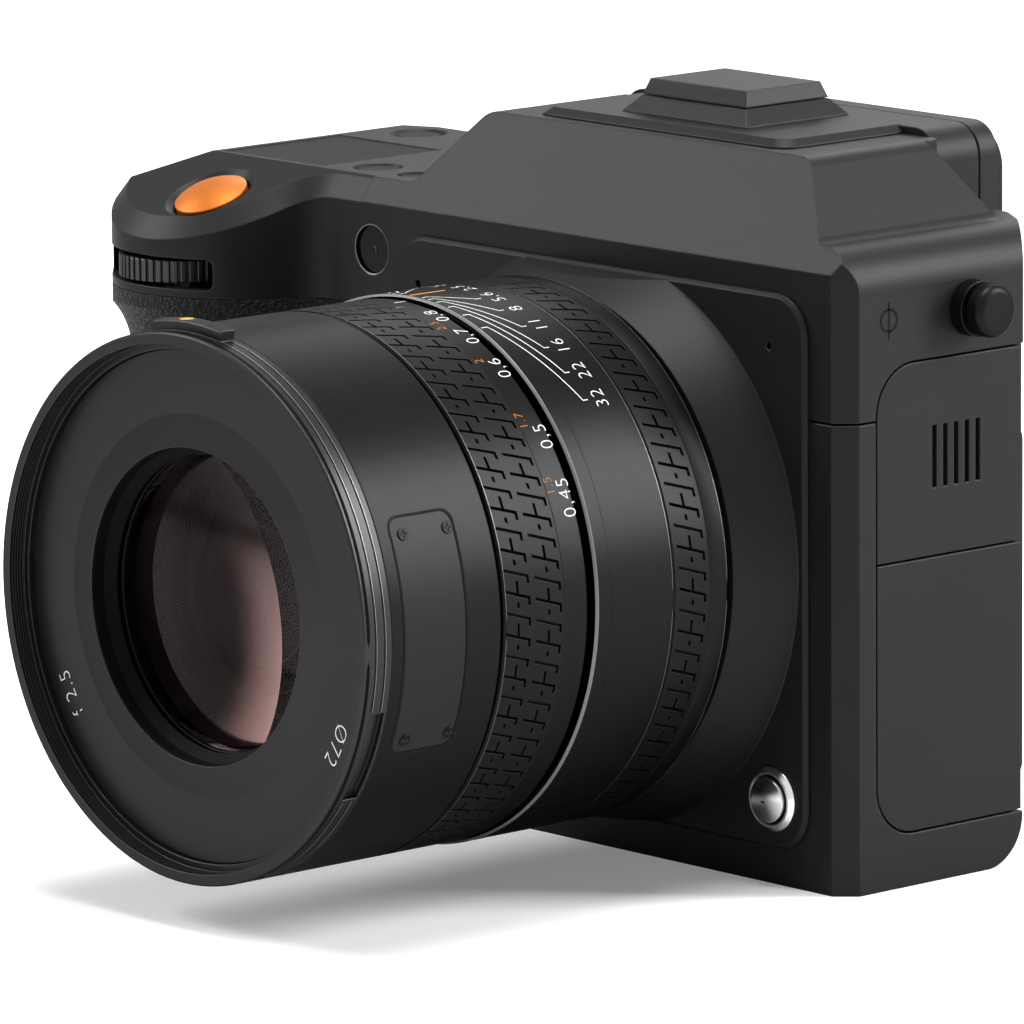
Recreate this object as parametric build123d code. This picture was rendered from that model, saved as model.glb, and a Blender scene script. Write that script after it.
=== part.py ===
"""A medium format digital camera with its lens, in millimetres, +Z up.

The origin is the mouth of the tripod socket, on the base under the lens axis.
The front looks along -Y. Depth is counted backwards from the front face, and x
runs from the grip side (negative) to the card door side (positive).
"""
from build123d import *
import os
from math import cos, sin, tan, radians, hypot

os.makedirs("parts", exist_ok=True)

# Body sizes
front = -17.0            # y of the front face, seen from the tripod socket
side_x = 48.8            # outer face of the card door side
side_depth = 34.1        # depth of the body at its side
back_depth = 42.0        # depth of the body behind the grip and the hump
top_z = 89.4             # flat top of the shoulders and the grip
hump_z = 99.9            # top of the finder hump
seam_z = 65.7            # joint between chassis and top cover
rubber_top = 71.2        # upper edge of the grip covering
axis_z = 44.06           # height of the lens axis
wall = 2.4               # usual thickness of the metal shells
gap = 0.1                # clearance between fixed pieces of one body
run = 0.3                # clearance round pieces that move
fit = 0.05               # radial clearance of a shaft in its hole
skin = 1.0               # thin trim and cover plates

# slanted front of the hump, and the narrow bevel that goes on round the top
slant_foot_z = 86.0
slant_depth = 9.0
front_bevel = 2.7
shoulder_round = 6.0
base_round = 7.0
back_corner_x = 43.6
back_corner_depth = 38.2
back_turn_x = 37.8
shoulder_flat = 7.4
hump_foot_half = side_x - shoulder_flat
hump_top_half = 32.6
hump_corner = 3.4
hump_foot_round = 2.6

# grip
grip_inner_x = -50.0
nose_x = -80.0
nose_depth = 3.2
nose_r = 19.0
neck_r = 7.0
crown_front_depth = 2.8
crown_outer_x = -86.0
crown_angle = 23.0
crown_outer_angle = 25.0
rim_bevel = 2.3
grip_back_r = 9.0
rubber_skin = 2.4
hollow_z = 60.5          # finger hollow under the dial
hollow_r = 12.0
hollow_bite = 3.6
hollow_fade = 4.0

# raised front plate and mount boss
plate_half = 41.9
plate_low = 5.2
plate_high = 82.5
plate_rise = 1.0
plate_corner = 6.0
boss_base_r = 40.6
boss_top_r = 37.0
flange_depth = -9.8
throat_r = 30.0

# side panel and doors
panel_depth0 = 5.76
panel_corner = 7.2
panel_low = 7.4
panel_high = 73.2
panel_split = 45.6
panel_skin = 1.6
panel_line = 0.35
slot_first = 17.0
slot_pitch = 2.08
slot_count = 5
slot_width = 0.9
slot_low = 55.1
slot_high = 63.8

# Lens sizes
rim_depth = -77.2
ring_r = 38.0           # outside of the scale and control rings
ring_proud = 0.4
rim_r = ring_r - ring_proud
thread_r = 36.0
thread_depth = 3.4
thread_long = 2.6
opening_r = 21.7
opening_lift = 0.7
bevel_r = 26.2
focus_front = -52.9
focus_back = -37.1
scale_front = -34.35
scale_back = -21.8
control_back = -11.6
ring_wall = 5.0
tube_wall = 2.5
sleeve_wall = 1.6
flange_rise = 3.4
barrel_wall = 2.0
tube_r = ring_r - ring_wall
tube_bore = tube_r - tube_wall
sleeve_r = tube_r + sleeve_wall
flange_r = tube_r + flange_rise
groove_r = rim_r - barrel_wall
bayonet_r = 26.0
bayonet_bore = 23.5
tab_r = 28.4
tab_thick = 1.8
tab_count = 3
tab_angle = 48.0
mount_ring_r = 34.0
mount_ring_thick = 3.4
mount_screw_r = 1.2
mount_screw_circle = 31.2
mount_screw_count = 6


# Small helpers
def at(x, depth, z):
    """A place given by x, depth behind the front face, and height."""
    return Pos(x, front + depth, z)


def mid(a, b):
    return (a + b) / 2


def block(x0, x1, d0, d1, z0, z1):
    """A box from its limits in x, depth and height."""
    return at(mid(x0, x1), mid(d0, d1), mid(z0, z1)) * Box(x1 - x0, d1 - d0, z1 - z0)


def rod_y(r, d0, d1, x=0, z=0):
    return at(x, mid(d0, d1), z) * Rot(90, 0, 0) * Cylinder(r, d1 - d0)


def rod_x(r, x0, x1, depth, z):
    return at(mid(x0, x1), depth, z) * Rot(0, 90, 0) * Cylinder(r, x1 - x0)


def rod_z(r, x, depth, z0, z1):
    return at(x, depth, mid(z0, z1)) * Cylinder(r, z1 - z0)


def tube_y(r_out, r_in, d0, d1, x=0, z=0):
    return rod_y(r_out, d0, d1, x, z) - rod_y(r_in, d0, d1, x, z)


def upright(points, d0, d1):
    """A solid drawn on the front view, from (x, z) points, between two depths."""
    face = make_face(Polyline(*[(x, z) for x, z in points], close=True))
    return Pos(0, front + d1, 0) * (Rot(90, 0, 0) * extrude(face, d1 - d0))


def lying(face, z0, z1):
    """A solid drawn on the plan view, in x and depth, between two heights."""
    return Pos(0, front, z0) * extrude(face, z1 - z0)


def turned(points):
    """A ring turned about the lens axis, from (radius, depth) points."""
    face = make_face(Polyline(*[(r, front + d) for r, d in points], close=True))
    return Pos(0, 0, axis_z) * revolve(face, Axis.Y)


def on_axis(angle, shape):
    """A shape turned about the lens axis, the angle counted from straight up."""
    return Pos(0, 0, axis_z) * Rot(0, angle, 0) * Pos(0, 0, -axis_z) * shape


def sector(r, d0, d1, angle, width):
    """A wedge of the lens's round space, centred on an angle from straight up."""
    half = width / 2
    reach = 2 * r
    pts = [(0, axis_z), (-reach * tan(radians(half)), axis_z + reach),
           (reach * tan(radians(half)), axis_z + reach)]
    return on_axis(angle, upright(pts, d0, d1))


def save(name, shape):
    export_step(shape, "parts/" + name + ".step")


def group(shapes):
    return Compound(children=list(shapes))


# Outlines of the body
def grip_plan(inset=0):
    """The grip seen from above: a round nose, a straight side, a round back."""
    r = nose_r - inset
    left = nose_x - r
    back = back_depth - inset
    deep = Pos(mid(left, grip_inner_x), mid(nose_depth, back)) * Rectangle(
        grip_inner_x - left, back - nose_depth)
    near = Pos(mid(nose_x, grip_inner_x), mid(inset, nose_depth)) * Rectangle(
        grip_inner_x - nose_x, nose_depth - inset)
    plan = deep + near + Pos(nose_x, nose_depth) * Circle(r)
    neck = plan.vertices().sort_by_distance((nose_x + r, inset))[0]
    plan = fillet(neck, neck_r)
    corner = plan.vertices().sort_by_distance((left, back))[0]
    return fillet(corner, grip_back_r - inset)


def middle_plan():
    """The camera between grip and card door, seen from above."""
    return make_face(Polyline(
        (grip_inner_x, 0), (side_x - front_bevel, 0), (side_x, front_bevel),
        (side_x, side_depth), (back_corner_x, back_corner_depth),
        (back_turn_x, back_depth), (grip_inner_x, back_depth), close=True))


def side_prism(points, x0, x1):
    """A prism from x0 to x1 whose outline is drawn from the side, in depth and height."""
    drawing = Plane((x0, front, 0), (0, 1, 0), (1, 0, 0))
    return extrude(drawing * make_face(Polyline(*points, close=True)), x1 - x0,
                   dir=(1, 0, 0))


def slant_cut(x0, x1):
    """All that lies in front of the slanted hump face and the bevel beside it."""
    rise = (hump_z - slant_foot_z) / slant_depth
    over = hump_z + slant_depth
    far = (over - slant_foot_z) / rise
    return side_prism([(-nose_r, slant_foot_z - nose_r * rise), (far, over),
                       (-nose_r, over)], x0, x1)


def crown_cut(angle, tilt, start):
    """A roof that falls outwards: angle says which way in plan, start is its
    distance from the nose axis, tilt its slope."""
    size = 4 * nose_r
    roof = Pos(size / 2, 0, size / 2) * Box(size, 2 * size, size)
    roof = Rot(0, tilt, 0) * roof
    return at(nose_x, nose_depth, top_z) * Rot(0, 0, angle) * Pos(start, 0, 0) * roof


# Top cover
dial_x = -81.5
dial_depth = -6.6
dial_r = 9.5
dial_low = 73.0
dial_high = 76.1
dial_slot_low = 72.3
dial_slot_high = 76.8
dial_slot_half = 12.7
slot_corner = 1.0
dial_ribs = 48
dial_rib_depth = 0.45
dial_rib_width = 0.55
shaft_r = 1.5
rear_dial_x = -84.0
rear_dial_inset = 6.0
rear_dial_depth = back_depth - rear_dial_inset
rear_dial_r = 7.6
rear_dial_half = 7.2
lid_thick = 9.4
lid_under = top_z - lid_thick   # underside of the metal over both dials

shutter_x = -75.4
shutter_depth = -6.8
shutter_r = 5.45
shutter_recess_r = 6.8
shutter_recess = 0.8
shutter_dome = 1.5
shutter_travel = 0.6
stem_r = 2.2

window_x0 = -85.1
window_x1 = -62.7
window_d0 = 3.8
window_inset = 15.5
window_d1 = back_depth - window_inset
window_thick = 1.4

rear_button_inset = 6.4
top_buttons = {
    # x, depth, radius of the button, radius of the dished ring round it
    "top_button_rear": (-78.0, back_depth - rear_button_inset, 3.3, 4.4),
    "top_button_middle": (-56.4, 8.7, 3.0, 3.7),
    "top_button_front": (-46.9, 7.6, 2.2, 2.8),
}
button_rise = 0.5
button_deep = 3.6
dish = 0.7
lamp_x = -48.0
lamp_z = 79.3
lamp_r = 3.6
lamp_sink = 0.5
lamp_thick = 1.6
mic_r = 0.55
mic_inset = 7.0           # from the front plate's edges
mic_inset_left = 4.9
mic_places = ((plate_half - mic_inset, 75.2), (mic_inset_left - plate_half, 75.7))
mic_deep = 2.0
lug_depth = 23.8
lug_z = 79.3
evf_half = 32.0
evf_low = 74.0
evf_high = 101.0
evf_front = side_depth
rear_slant_beyond = 2.4
rear_slant_run = 5.2
rear_slant_foot = evf_front + rear_slant_beyond
evf_thick = 3.8
evf_back = back_depth + evf_thick
evf_round = 4.5


def shutter_z():
    return top_z - (crown_front_depth - shutter_depth) * tan(radians(crown_angle))


def on_crown(shape):
    """A shape put on the sloping nose, at the shutter button."""
    return at(shutter_x, shutter_depth, shutter_z()) * Rot(crown_angle, 0, 0) * shape


def grip_top():
    """The metal nose over the grip, with its falling crown and bevelled rim."""
    head = lying(grip_plan(), rubber_top, top_z)
    lead = crown_front_depth - nose_depth
    head -= crown_cut(-90, crown_angle, -lead)
    head -= crown_cut(180, crown_outer_angle, nose_x - crown_outer_x)
    return chamfer([e for e in head.edges() if on_rim(e)], rim_bevel)


def on_rim(edge):
    """True for the edges where the crown meets the grip's outer wall."""
    x, depth, z = edge.center().X, edge.center().Y - front, edge.center().Z
    if z < lid_under or abs((edge @ 1 - edge @ 0).Z) > edge.length - gap:
        return False
    near_side = abs(x - (nose_x - nose_r)) < skin
    from_nose = hypot(x - nose_x, depth - nose_depth)
    near_nose = depth < nose_depth and abs(from_nose - nose_r) < skin
    near_neck = depth < skin and x > nose_x + nose_r / 2
    return near_side or near_nose or near_neck


def head_block():
    """Hump and shoulders as one block, drawn on the front view."""
    pts = [(grip_inner_x, seam_z), (side_x, seam_z), (side_x, top_z),
           (hump_foot_half, top_z), (hump_top_half, hump_z), (-hump_top_half, hump_z),
           (-hump_foot_half, top_z), (grip_inner_x, top_z)]
    block_ = upright(pts, 0, back_depth)
    edges = block_.edges().filter_by(Axis.Y)
    shoulder = edges.sort_by_distance((side_x, front, top_z))[0]
    block_ = fillet(shoulder, shoulder_round)
    for x in (-hump_top_half, hump_top_half):
        edges = block_.edges().filter_by(Axis.Y)
        block_ = fillet(edges.sort_by_distance((x, front, hump_z))[0], hump_corner)
    for x in (-hump_foot_half, hump_foot_half):
        edges = block_.edges().filter_by(Axis.Y)
        block_ = fillet(edges.sort_by_distance((x, front, top_z))[0], hump_foot_round)
    return block_ & lying(middle_plan(), seam_z, hump_z + wall)


def rear_slant_cut(side):
    """The slanting rear end of one flank of the hump; side is 1 or -1."""
    over = hump_z + wall
    lean = rear_slant_run * (over - top_z) / (hump_z - top_z)
    outer = hump_foot_half + wall
    x0, x1 = (evf_half, outer) if side > 0 else (-outer, -evf_half)
    return side_prism([(rear_slant_foot, top_z), (rear_slant_foot - lean, over),
                       (back_depth + wall, over), (back_depth + wall, top_z)], x0, x1)


def top_cover():
    cover = head_block() - slant_cut(grip_inner_x, side_x + wall)
    cover -= [rear_slant_cut(1), rear_slant_cut(-1)]
    cover += grip_top()
    # the hollow under the hump, the shoulders and the grip
    inner_low = seam_z - wall
    cover -= block(grip_inner_x + wall, side_x - 2 * wall, 2 * wall, back_depth - wall,
                   inner_low, slant_foot_z - wall)
    cover -= block(-hump_top_half + wall, hump_top_half - wall,
                   slant_depth + wall, back_depth - wall, inner_low, hump_z - wall)
    cover -= block(nose_x - nose_r / 2, grip_inner_x + 2 * wall, 2 * wall,
                   back_depth - 2 * wall, rubber_top - wall, slant_foot_z - wall)
    cover -= rod_z(nose_r - wall, nose_x, nose_depth, rubber_top - wall,
                   dial_slot_high + gap)
    # slots for the two dials
    slot = block(dial_x - dial_slot_half, dial_x + dial_slot_half,
                 nose_depth - 2 * nose_r, nose_depth, dial_slot_low, dial_slot_high)
    cover -= fillet(slot.edges().filter_by(Axis.Y), slot_corner)
    cover -= block(rear_dial_x - rear_dial_half, rear_dial_x + rear_dial_half,
                   rear_dial_depth, back_depth + wall, dial_slot_low, dial_slot_high)
    cover -= rod_z(rear_dial_r + run, rear_dial_x, rear_dial_depth,
                   dial_slot_low, dial_slot_high)
    cover -= rod_z(2 * shaft_r + gap, rear_dial_x, rear_dial_depth,
                   rubber_top - wall, dial_slot_low)
    # the bay that the finder housing fills, with its rounded lower corners
    cover -= finder_block(evf_half + gap, evf_low - gap, evf_high + wall, evf_front - gap,
                          back_depth + wall)
    # lens throat, side panel, finder side
    cover -= rod_y(throat_r, -wall, 2 * wall + gap, 0, axis_z)
    cover -= panel_pocket()
    # window and buttons on top
    cover -= block(window_x0, window_x1, window_d0, window_d1, top_z - window_thick,
                   top_z + wall)
    for x, depth, r, ring in top_buttons.values():
        cover -= rod_z(r + run, x, depth, top_z - 2 * button_deep, top_z + wall)
        cover -= at(x, depth, top_z) * Rot(180, 0, 0) * Pos(0, 0, dish / 2) * Cone(
            ring, r + run, dish)
    cover -= on_crown(Pos(0, 0, -shutter_recess / 2) * Cone(
        shutter_r + run, shutter_recess_r, shutter_recess))
    cover -= on_crown(Cylinder(shutter_r + run, 4 * shutter_dome))
    cover -= on_crown(Pos(0, 0, -2 * wall) * Cylinder(stem_r + run, 4 * wall))
    # lamp window, microphone holes
    cover -= rod_y(lamp_r + gap, -wall, lamp_thick, lamp_x, lamp_z)
    for x, z in mic_places:
        cover -= rod_y(mic_r, -wall, mic_deep, x, z)
    return cover


def panel_pocket():
    """The shallow pocket of the side panel and the door, open to the back."""
    pocket = block(side_x - panel_skin - gap, side_x + wall, panel_depth0,
                   side_depth + wall, panel_low, panel_high)
    for z in (panel_low, panel_high):
        edges = pocket.edges().filter_by(Axis.X)
        corner = edges.sort_by_distance((side_x, front + panel_depth0, z))[0]
        pocket = fillet(corner, panel_corner)
    return pocket


# Accessory shoe
plate_x = 25.5
plate_d0 = 10.9
plate_z = 101.1
shoe_corner = 3.0
shoe_half = 12.7
shoe_top_half = 10.6
shoe_d0 = 16.0
shoe_d1 = 35.9
shoe_in = 2.0
shoe_z = 103.4
channel_half = 9.35
channel_low = plate_z
channel_high = 102.7
channel_mouth_half = 6.3
channel_start = 18.0
cover_half = 10.5
cover_top_half = 9.7
cover_z = 105.8
tongue_clear = 0.15


def shoe_channel():
    """The undercut channel that accessories slide into, open to the back."""
    return block(-channel_half, channel_half, channel_start, evf_back + wall,
                 channel_low, channel_high)


def tapered(half0, half1, d0, d1, inset, z0, z1, corner=0):
    """A low block whose sides lean in towards its top, with rounded corners if asked."""
    low, high = Rectangle(2 * half0, d1 - d0), Rectangle(2 * half1, d1 - d0 - 2 * inset)
    if corner:
        low, high = (fillet(outline.vertices(), corner) for outline in (low, high))
    depth = front + mid(d0, d1)
    return loft([Plane((0, depth, z0)) * low, Plane((0, depth, z1)) * high])


def shoe_plate():
    edge = plate_z - hump_z
    back = evf_front - gap
    beyond = back + edge + shoe_corner
    plate = tapered(plate_x, plate_x - edge, plate_d0, beyond, edge, hump_z + gap, plate_z,
                    shoe_corner)
    return plate - block(-plate_x - wall, plate_x + wall, back, beyond + wall,
                         hump_z, plate_z + wall)


def hot_shoe():
    shoe = tapered(shoe_half, shoe_top_half, shoe_d0, shoe_d1, shoe_in, plate_z, shoe_z)
    shoe -= shoe_channel()
    return shoe - block(-channel_mouth_half, channel_mouth_half, channel_start,
                        evf_back, channel_low, cover_z)


def shoe_cover():
    d0, d1 = shoe_d0 + shoe_in, shoe_d1 - shoe_in
    low = shoe_z + tongue_clear
    lid = tapered(cover_half, cover_top_half, d0, d1, cover_half - cover_top_half,
                  low, cover_z)
    neck = channel_mouth_half - tongue_clear
    tongue = channel_half - tongue_clear
    lid += block(-neck, neck, channel_start + tongue_clear, d1, mid(low, channel_low),
                 low + tongue_clear)
    return lid + block(-tongue, tongue, channel_start + tongue_clear, d1,
                       channel_low + tongue_clear, channel_high - tongue_clear)


# Chassis and grip
floor_thick = 3.5
base_plate_thick = 1.6
base_x0 = -46.0
base_x1 = 44.0
base_d0 = 4.0
base_d1 = 26.0
tripod_r = 3.175
tripod_bush_r = 6.5
tripod_deep = 5.5
screw_r = 1.3
screw_deep = 1.5
battery_x0 = -92.0
battery_x1 = -67.5
battery_d0 = 3.4
battery_room = 5.0        # from the battery to the back of the grip
battery_d1 = back_depth - battery_room
battery_top = 58.0
battery_foot = 2.2
battery_lip = 1.0
lever_x = -59.0
lever_depth = 20.0
lever_r = 5.0
lever_low = 0.3
lever_high = 1.7
lever_bar = 1.6
rubber_back = 34.0
rubber_inner_x = -54.0


def chassis():
    body = lying(middle_plan(), 0, seam_z - panel_line)
    body &= block(grip_inner_x, side_x, 0, side_depth, 0, seam_z)
    heel = body.edges().filter_by(Axis.X).sort_by_distance(
        (0, front + side_depth, 0))[0]
    body = fillet(heel, base_round)
    body -= block(grip_inner_x + wall, side_x - 2 * wall, wall + gap, side_depth + wall,
                  floor_thick + base_plate_thick, seam_z + wall)
    body -= rod_y(throat_r, -wall, 2 * wall, 0, axis_z)
    body -= block(base_x0, base_x1, base_d0, base_d1, -wall, base_plate_thick)
    body -= rod_z(tripod_bush_r, 0, -front, 0, floor_thick + 2 * base_plate_thick)
    body -= panel_pocket()
    # the way in to the card slot, and room for the door's hinge edge
    body -= block(side_x - 4 * wall, side_x, card_d0 - run, card_d1 + run,
                  card_low - run, card_high + run)
    body -= block(side_x - panel_skin - wall, side_x, door_hinge_depth - wall,
                  side_depth + wall, panel_low, panel_split)
    body -= rod_z(door_pin_r + fit, door_hinge_x(), door_hinge_depth,
                  panel_low - 2 * door_pin_long, panel_low + gap)
    return body - rod_y(release_r + run, -wall, 2 * wall, release_x, release_z)


def base_plate():
    plate = block(base_x0 + gap, base_x1 - gap, base_d0 + gap, base_d1 - gap,
                  0, base_plate_thick)
    plate -= rod_z(tripod_bush_r, 0, -front, -wall, wall)
    for x, depth in base_screw_places():
        plate -= rod_z(screw_r, x, depth, -gap, screw_deep)
    return plate


def base_screw_places():
    edge = 2 * wall
    return [(x, d) for x in (base_x0 + edge, base_x1 - edge)
            for d in (base_d0 + edge, base_d1 - edge)]


def base_screws():
    screws = []
    for x, depth in base_screw_places():
        head = rod_z(screw_r, x, depth, gap, screw_deep)
        half, cut = screw_r / 2, screw_r / 6
        head -= block(x - half, x + half, depth - cut, depth + cut, 0, screw_deep / 2)
        screws.append(head)
    return group(screws)


def tripod_bush():
    bush = rod_z(tripod_bush_r, 0, -front, 0, floor_thick + 2 * base_plate_thick)
    return bush - rod_z(tripod_r, 0, -front, -gap, tripod_deep)


def finger_hollow(deeper=0):
    """The ring cut away round the nose, where the middle finger rests. Its
    centre lies behind the nose's, so that it fades out towards the sides."""
    major = nose_r + hollow_r - hollow_bite + hollow_fade
    ring = at(nose_x, nose_depth + hollow_fade, hollow_z) * Torus(
        major, hollow_r + deeper)
    return ring & block(nose_x - 2 * major, nose_x + 2 * major,
                        nose_depth - 2 * major, 0, 0, 2 * hollow_z)


def rubber_zone():
    """The part of the grip's wall that is covered with rubber."""
    return block(nose_x - 2 * nose_r, rubber_inner_x, nose_depth - 2 * nose_r,
                 rubber_back, wall, rubber_top)


def grip_core():
    core = lying(grip_plan(), 0, rubber_top - gap)
    core -= grip_rubber_blank()
    core -= finger_hollow(rubber_skin)
    room = run
    core -= block(battery_x0 - room, battery_x1 + room, battery_d0 - room,
                  battery_d1 + room, -wall, battery_top + 2 * room)
    core -= block(battery_x0 - battery_lip - room, battery_x1 + battery_lip + room,
                  battery_d0 - battery_lip - room, battery_d1 + battery_lip + room,
                  -wall, battery_foot + room)
    core -= rod_z(lever_r + run, lever_x, lever_depth, -wall, lever_high + run)
    core -= rod_z(shaft_r + fit, lever_x, lever_depth, -wall, 4 * wall)
    core -= rod_z(shaft_r, dial_x, dial_depth, rubber_top - 2 * wall, rubber_top)
    return core


def grip_rubber_blank():
    skin_ = lying(grip_plan(), wall, rubber_top - gap)
    skin_ -= lying(grip_plan(rubber_skin), 0, rubber_top)
    return skin_ & rubber_zone()


def grip_rubber():
    """The covering, with the finger hollow and the same skin behind it."""
    solid = lying(grip_plan(), wall, rubber_top - gap) & rubber_zone()
    core = lying(grip_plan(rubber_skin), 0, rubber_top) - finger_hollow(rubber_skin)
    return solid - core - finger_hollow()


# Front plate and mount
release_inset = 6.4
release_x = plate_half - release_inset
release_z = 12.2
release_r = 3.15
release_rise = 1.4
release_dome = 0.6
release_bezel_r = 4.55
release_bezel_rise = 0.9
release_stem_r = 1.4


def front_plate():
    plate = upright([(-plate_half, plate_low), (plate_half, plate_low),
                     (plate_half, plate_high), (-plate_half, plate_high)],
                    -plate_rise, -gap)
    plate = fillet(plate.edges().filter_by(Axis.Y), plate_corner)
    rim = plate.faces().sort_by(Axis.Y)[0].edges()
    plate = chamfer(rim, plate_rise / 2)
    boss = turned([(throat_r, -gap), (boss_base_r, -gap), (boss_base_r, -plate_rise),
                   (boss_top_r, flange_depth), (throat_r, flange_depth)])
    boss &= block(-plate_half, plate_half, flange_depth, 0,
                  plate_low + plate_rise / 2, plate_high - plate_rise / 2)
    plate += boss
    plate -= rod_y(throat_r, flange_depth - wall, wall, 0, axis_z)
    plate -= rod_y(mount_ring_r, flange_depth - wall, flange_depth + mount_ring_thick,
                   0, axis_z)
    plate -= rod_y(release_r + run, -2 * wall, wall, release_x, release_z)
    plate -= rod_y(release_bezel_r, -2 * wall, -plate_rise / 2, release_x, release_z)
    for x, z in mic_places:
        plate -= rod_y(mic_r, -wall, wall, x, z)
    return plate


def mount_ring():
    back = flange_depth + mount_ring_thick
    ring = tube_y(mount_ring_r - gap, bayonet_r + fit, flange_depth, back - gap, 0, axis_z)
    notch = tube_y(tab_r + run, bayonet_r - wall, flange_depth - gap, back, 0, axis_z)
    clear = tab_angle + 2 * wall
    for i in range(tab_count):
        angle = 360 / tab_count * (i + 1 / 2)
        ring -= notch & sector(mount_ring_r, flange_depth - wall, back, angle, clear)
    for screw in mount_screw_spots():
        ring -= screw * rod_y(mount_screw_r, flange_depth - gap, back)
    return ring


def mount_screw_spots():
    return [Pos(mount_screw_circle * sin(radians(a)), 0,
                axis_z + mount_screw_circle * cos(radians(a)))
            for a in [360 / mount_screw_count * (i + 1 / 2)
                      for i in range(mount_screw_count)]]


def mount_screws():
    back = flange_depth + mount_ring_thick
    screw = rod_y(mount_screw_r, flange_depth + gap, back - gap)
    slot = block(-mount_screw_r / 2, mount_screw_r / 2, flange_depth, flange_depth + 4 * gap,
                 -gap, gap)
    return group([spot * (screw - slot) for spot in mount_screw_spots()])


def release_bezel():
    bezel = tube_y(release_bezel_r - fit, release_r + run, -plate_rise - release_bezel_rise,
                   -plate_rise / 2 - fit, release_x, release_z)
    outer = bezel.faces().sort_by(Axis.Y)[0].edges().sort_by(SortBy.LENGTH)[-1]
    bezel = chamfer(outer, release_bezel_rise * 2 / 3)
    inner = bezel.faces().sort_by(Axis.Y)[0].edges().sort_by(SortBy.LENGTH)[0]
    return chamfer(inner, release_bezel_rise / 6)


def dome(r, height):
    """A shallow cap standing on the XY plane."""
    ball = (r * r + height * height) / (2 * height)
    return Pos(0, 0, height - ball) * Sphere(ball) & Pos(0, 0, height / 2) * Cylinder(
        r, height)


def release_button():
    face = -plate_rise - release_rise
    cap = at(release_x, face, release_z) * Rot(90, 0, 0) * dome(release_r, release_dome)
    cap += rod_y(release_r, face, 0, release_x, release_z)
    return cap + rod_y(release_stem_r, 0, 2 * wall, release_x, release_z)


def af_lamp_window():
    return rod_y(lamp_r, lamp_sink, lamp_thick - gap, lamp_x, lamp_z)


# Card door side
card_d0 = 11.0
card_d1 = 19.4
card_low = 10.0
card_high = 43.5
card_x0 = 9.0
card_slot_thick = 5.0
card_slot_edge = 1.2
door_hinge_depth = 32.4
door_pin_r = 0.5
door_pin_long = 1.5


def door_hinge_x():
    return side_x - panel_skin / 2


def side_sheet(z0, z1, rounded_z):
    """A flat cover of the side pocket between two heights, one corner round."""
    sheet = block(side_x - panel_skin, side_x, panel_depth0 + panel_line,
                  side_depth - panel_line, z0, z1)
    edges = sheet.edges().filter_by(Axis.X)
    corner = edges.sort_by_distance((side_x, front + panel_depth0, rounded_z))[0]
    return fillet(corner, panel_corner - panel_line)


def speaker_panel():
    sheet = side_sheet(panel_split + panel_line / 2, panel_high - panel_line, panel_high)
    for i in range(slot_count):
        depth = slot_first + i * slot_pitch
        sheet -= block(side_x - panel_skin - gap, side_x + gap, depth - slot_width / 2,
                       depth + slot_width / 2, slot_low, slot_high)
    return sheet


def card_door():
    door = side_sheet(panel_low + panel_line, panel_split - panel_line / 2, panel_low)
    pin = rod_z(door_pin_r, door_hinge_x(), door_hinge_depth,
                panel_low - door_pin_long, panel_low + wall)
    return door + pin


def card_slot_unit():
    x1 = side_x - panel_skin - wall - run
    unit = block(card_x0, x1, card_d0, card_d1, card_low, card_high)
    middle = mid(card_d0, card_d1)
    return unit - block(card_x0 + wall, x1 + gap, middle - card_slot_thick / 2,
                        middle + card_slot_thick / 2, card_low + card_slot_edge,
                        card_high - card_slot_edge)


# Finder and lugs
lug_base_r = 3.9
lug_base_long = 2.2
lug_neck_r = 2.6
lug_neck_long = 0.8
lug_knob_r = 3.7
lug_knob_long = 2.6
lug_round = 1.2
grip_lug_z = 76.6
eyecup_half = 22.5
eyecup_low = 76.5
eyecup_high = 98.5
eyecup_long = 11.2
eyecup_back = evf_back + eyecup_long
eyecup_lip = 2.6
eyecup_round = 6.0
eye_half_x = 14.0
eye_z0 = 80.5
eye_z1 = 94.5
eye_glass_depth = evf_back + eyecup_lip - skin


def strap_lug(side, x, z):
    """A turned post with a domed knob; side is 1 or -1."""
    steps = [(lug_base_r, lug_base_long), (lug_neck_r, lug_neck_long),
             (lug_knob_r, lug_knob_long)]
    lug, start = None, 0
    for r, long in steps:
        piece = Pos(0, 0, start + long / 2) * Cylinder(r, long)
        lug = piece if lug is None else lug + piece
        start += long
    outer = lug.faces().sort_by(Axis.Z)[-1].edges()
    lug = fillet(outer, lug_round)
    return at(x, lug_depth, z) * Rot(0, 90 * side, 0) * lug


def rounded_box(half, low, high, d0, d1, r):
    frame = upright([(-half, low), (half, low), (half, high), (-half, high)], d0, d1)
    return fillet(frame.edges().filter_by(Axis.Y), r)


def eye_window(d0, d1):
    return block(-eye_half_x, eye_half_x, d0, d1, eye_z0, eye_z1)


def finder_block(half, low, high, d0, d1):
    return rounded_box(half, low, high, d0, d1, evf_round)


def evf_housing():
    """The finder housing, let into the back of the hump, with the line of its frame."""
    box = finder_block(evf_half, evf_low, evf_high, evf_front, evf_back)
    line = finder_block(evf_half + wall, evf_low - wall, evf_high + wall, back_depth + gap,
                        back_depth + gap + panel_line)
    line -= finder_block(evf_half - panel_line, evf_low + panel_line,
                         evf_high - panel_line, back_depth, evf_back)
    return box - line - eye_window(evf_front - gap, evf_back + gap)


def eyecup():
    cup = rounded_box(eyecup_half, eyecup_low, eyecup_high, evf_back + gap, eyecup_back,
                      eyecup_round)
    rim = cup.faces().sort_by(Axis.Y)[-1].edges()
    cup = fillet(rim, eyecup_lip)
    funnel = rounded_box(eyecup_half - eyecup_lip - wall, eyecup_low + eyecup_lip + skin,
                         eyecup_high - eyecup_lip - skin, eye_glass_depth + wall,
                         eyecup_back + gap, eyecup_round / 2)
    return cup - funnel - eye_window(evf_back, eyecup_back)


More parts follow.
